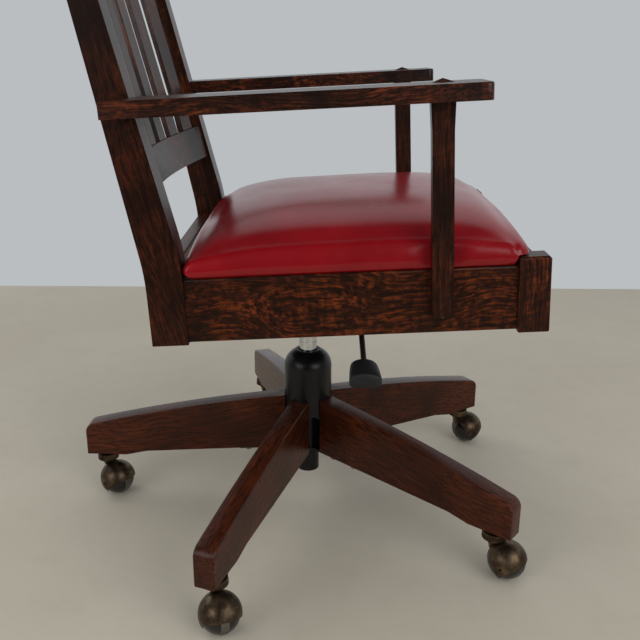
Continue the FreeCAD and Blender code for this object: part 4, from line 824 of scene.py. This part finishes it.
# The lamps: place, the point aimed at, diameter and power.
LAMPS = {
    "key": ((-2.0, -1.7, 1.45), (0.0, 0.0, 0.35), 2.2, 32.0),
    "fill": ((-1.8, 1.7, 1.2), (0.0, 0.0, 0.35), 1.6, 16.0),
    "back": ((1.2, 2.2, 2.3), (0.0, 0.0, 0.4), 1.6, 12.0),
}


def camera():
    data = bpy.data.cameras.new("camera")
    data.sensor_width = SENSOR
    data.lens = FOCAL_PIXELS / IMAGE * SENSOR
    data.shift_x = (IMAGE / 2.0 - CENTRE_X) / IMAGE
    data.shift_y = (CENTRE_Y - IMAGE / 2.0) / IMAGE
    data.clip_start = NEAR_CLIP
    data.clip_end = FAR_CLIP
    ahead = Vector((math.cos(CAMERA_PITCH) * math.cos(CAMERA_YAW),
                    math.cos(CAMERA_PITCH) * math.sin(CAMERA_YAW), -math.sin(CAMERA_PITCH)))
    right = Vector((math.sin(CAMERA_YAW), -math.cos(CAMERA_YAW), 0.0))
    axes = Matrix((right, right.cross(ahead), -ahead)).transposed().to_4x4()
    roll = Matrix.Rotation(CAMERA_ROLL, 4, "Z")
    item = link("camera", data)
    item.matrix_world = Matrix.Translation(CAMERA_PLACE) @ axes @ roll
    bpy.context.scene.camera = item


def floor():
    tree = Tree("floor")
    place = tree.coordinates()
    colour = tree.ramp(tree.noise(place, *FLOOR_CLOUDS), *FLOOR_TONES)
    marks = tree.mask(tree.noise(place, *FLOOR_FINE), *FLOOR_MARK_RANGE)
    colour = tree.mix(tree.times(marks, FLOOR_MARK_SHARE), colour, FLOOR_MARK)
    tree.shade(Base_Color=colour, Roughness=FLOOR_ROUGHNESS, Specular_IOR_Level=FLOOR_GLOSS)
    mesh = bmesh.new()
    mesh.faces.new([mesh.verts.new((x * FLOOR_HALF, y * FLOOR_HALF, 0.0))
                    for x, y in ((-1, -1), (1, -1), (1, 1), (-1, 1))])
    data = bpy.data.meshes.new("floor")
    mesh.to_mesh(data)
    mesh.free()
    data.materials.append(tree.material)
    item = link("floor", data)


def lamp(name, place, aim, size, power):
    data = bpy.data.lights.new(name, "AREA")
    data.shape = "DISK"
    data.size = size
    data.energy = power
    item = link(name, data)
    item.location = place
    item.rotation_mode = "QUATERNION"
    item.rotation_quaternion = (Vector(aim) - Vector(place)).to_track_quat("-Z", "Y")


def world():
    """A pale wall where the camera looks, and soft light from all round.

    In reflections the wall on the far side is pale; the ceiling and the near side are dim.
    """
    made = bpy.data.worlds.new("studio")
    bpy.context.scene.world = made
    made.use_nodes = True
    nodes = made.node_tree.nodes
    links = made.node_tree.links
    nodes.clear()

    def background(colour, strength):
        shader = nodes.new("ShaderNodeBackground")
        shader.inputs["Color"].default_value = colour
        shader.inputs["Strength"].default_value = strength
        return shader

    def choose(amount, one, two):
        mixed = nodes.new("ShaderNodeMixShader")
        links.new(amount, mixed.inputs[0])
        links.new(one.outputs[0], mixed.inputs[1])
        links.new(two.outputs[0], mixed.inputs[2])
        return mixed

    path = nodes.new("ShaderNodeLightPath")
    direction = nodes.new("ShaderNodeTexCoord")
    apart = nodes.new("ShaderNodeSeparateXYZ")
    links.new(direction.outputs["Generated"], apart.inputs[0])

    def fade(axis, start, end):
        eased = nodes.new("ShaderNodeMapRange")
        eased.interpolation_type = "SMOOTHSTEP"
        eased.inputs["From Min"].default_value = start
        eased.inputs["From Max"].default_value = end
        links.new(apart.outputs[axis], eased.inputs["Value"])
        return eased.outputs[0]

    pale = nodes.new("ShaderNodeMath")
    pale.operation = "MULTIPLY"
    links.new(fade("X", *WALL_FADE), pale.inputs[0])
    links.new(fade("Z", *CEILING_FADE), pale.inputs[1])
    mirrored = choose(pale.outputs[0], background(WALL, MIRRORED_DIM),
                      background(WALL, MIRRORED_WALL))
    light = choose(fade("Z", *LIGHT_HEIGHTS), background(WHITE, LOW_LIGHT),
                   background(WHITE, HIGH_LIGHT))
    indirect = choose(path.outputs["Is Glossy Ray"], light, mirrored)
    whole = choose(path.outputs["Is Camera Ray"], indirect, background(WALL, 1.0))
    output = nodes.new("ShaderNodeOutputWorld")
    links.new(whole.outputs[0], output.inputs["Surface"])


woods()
metals()
cushion()
floor()
world()
for lamp_name, settings in LAMPS.items():
    lamp(lamp_name, *settings)
camera()

bpy.context.scene.view_settings.view_transform = "Standard"

bpy.context.view_layer.update()
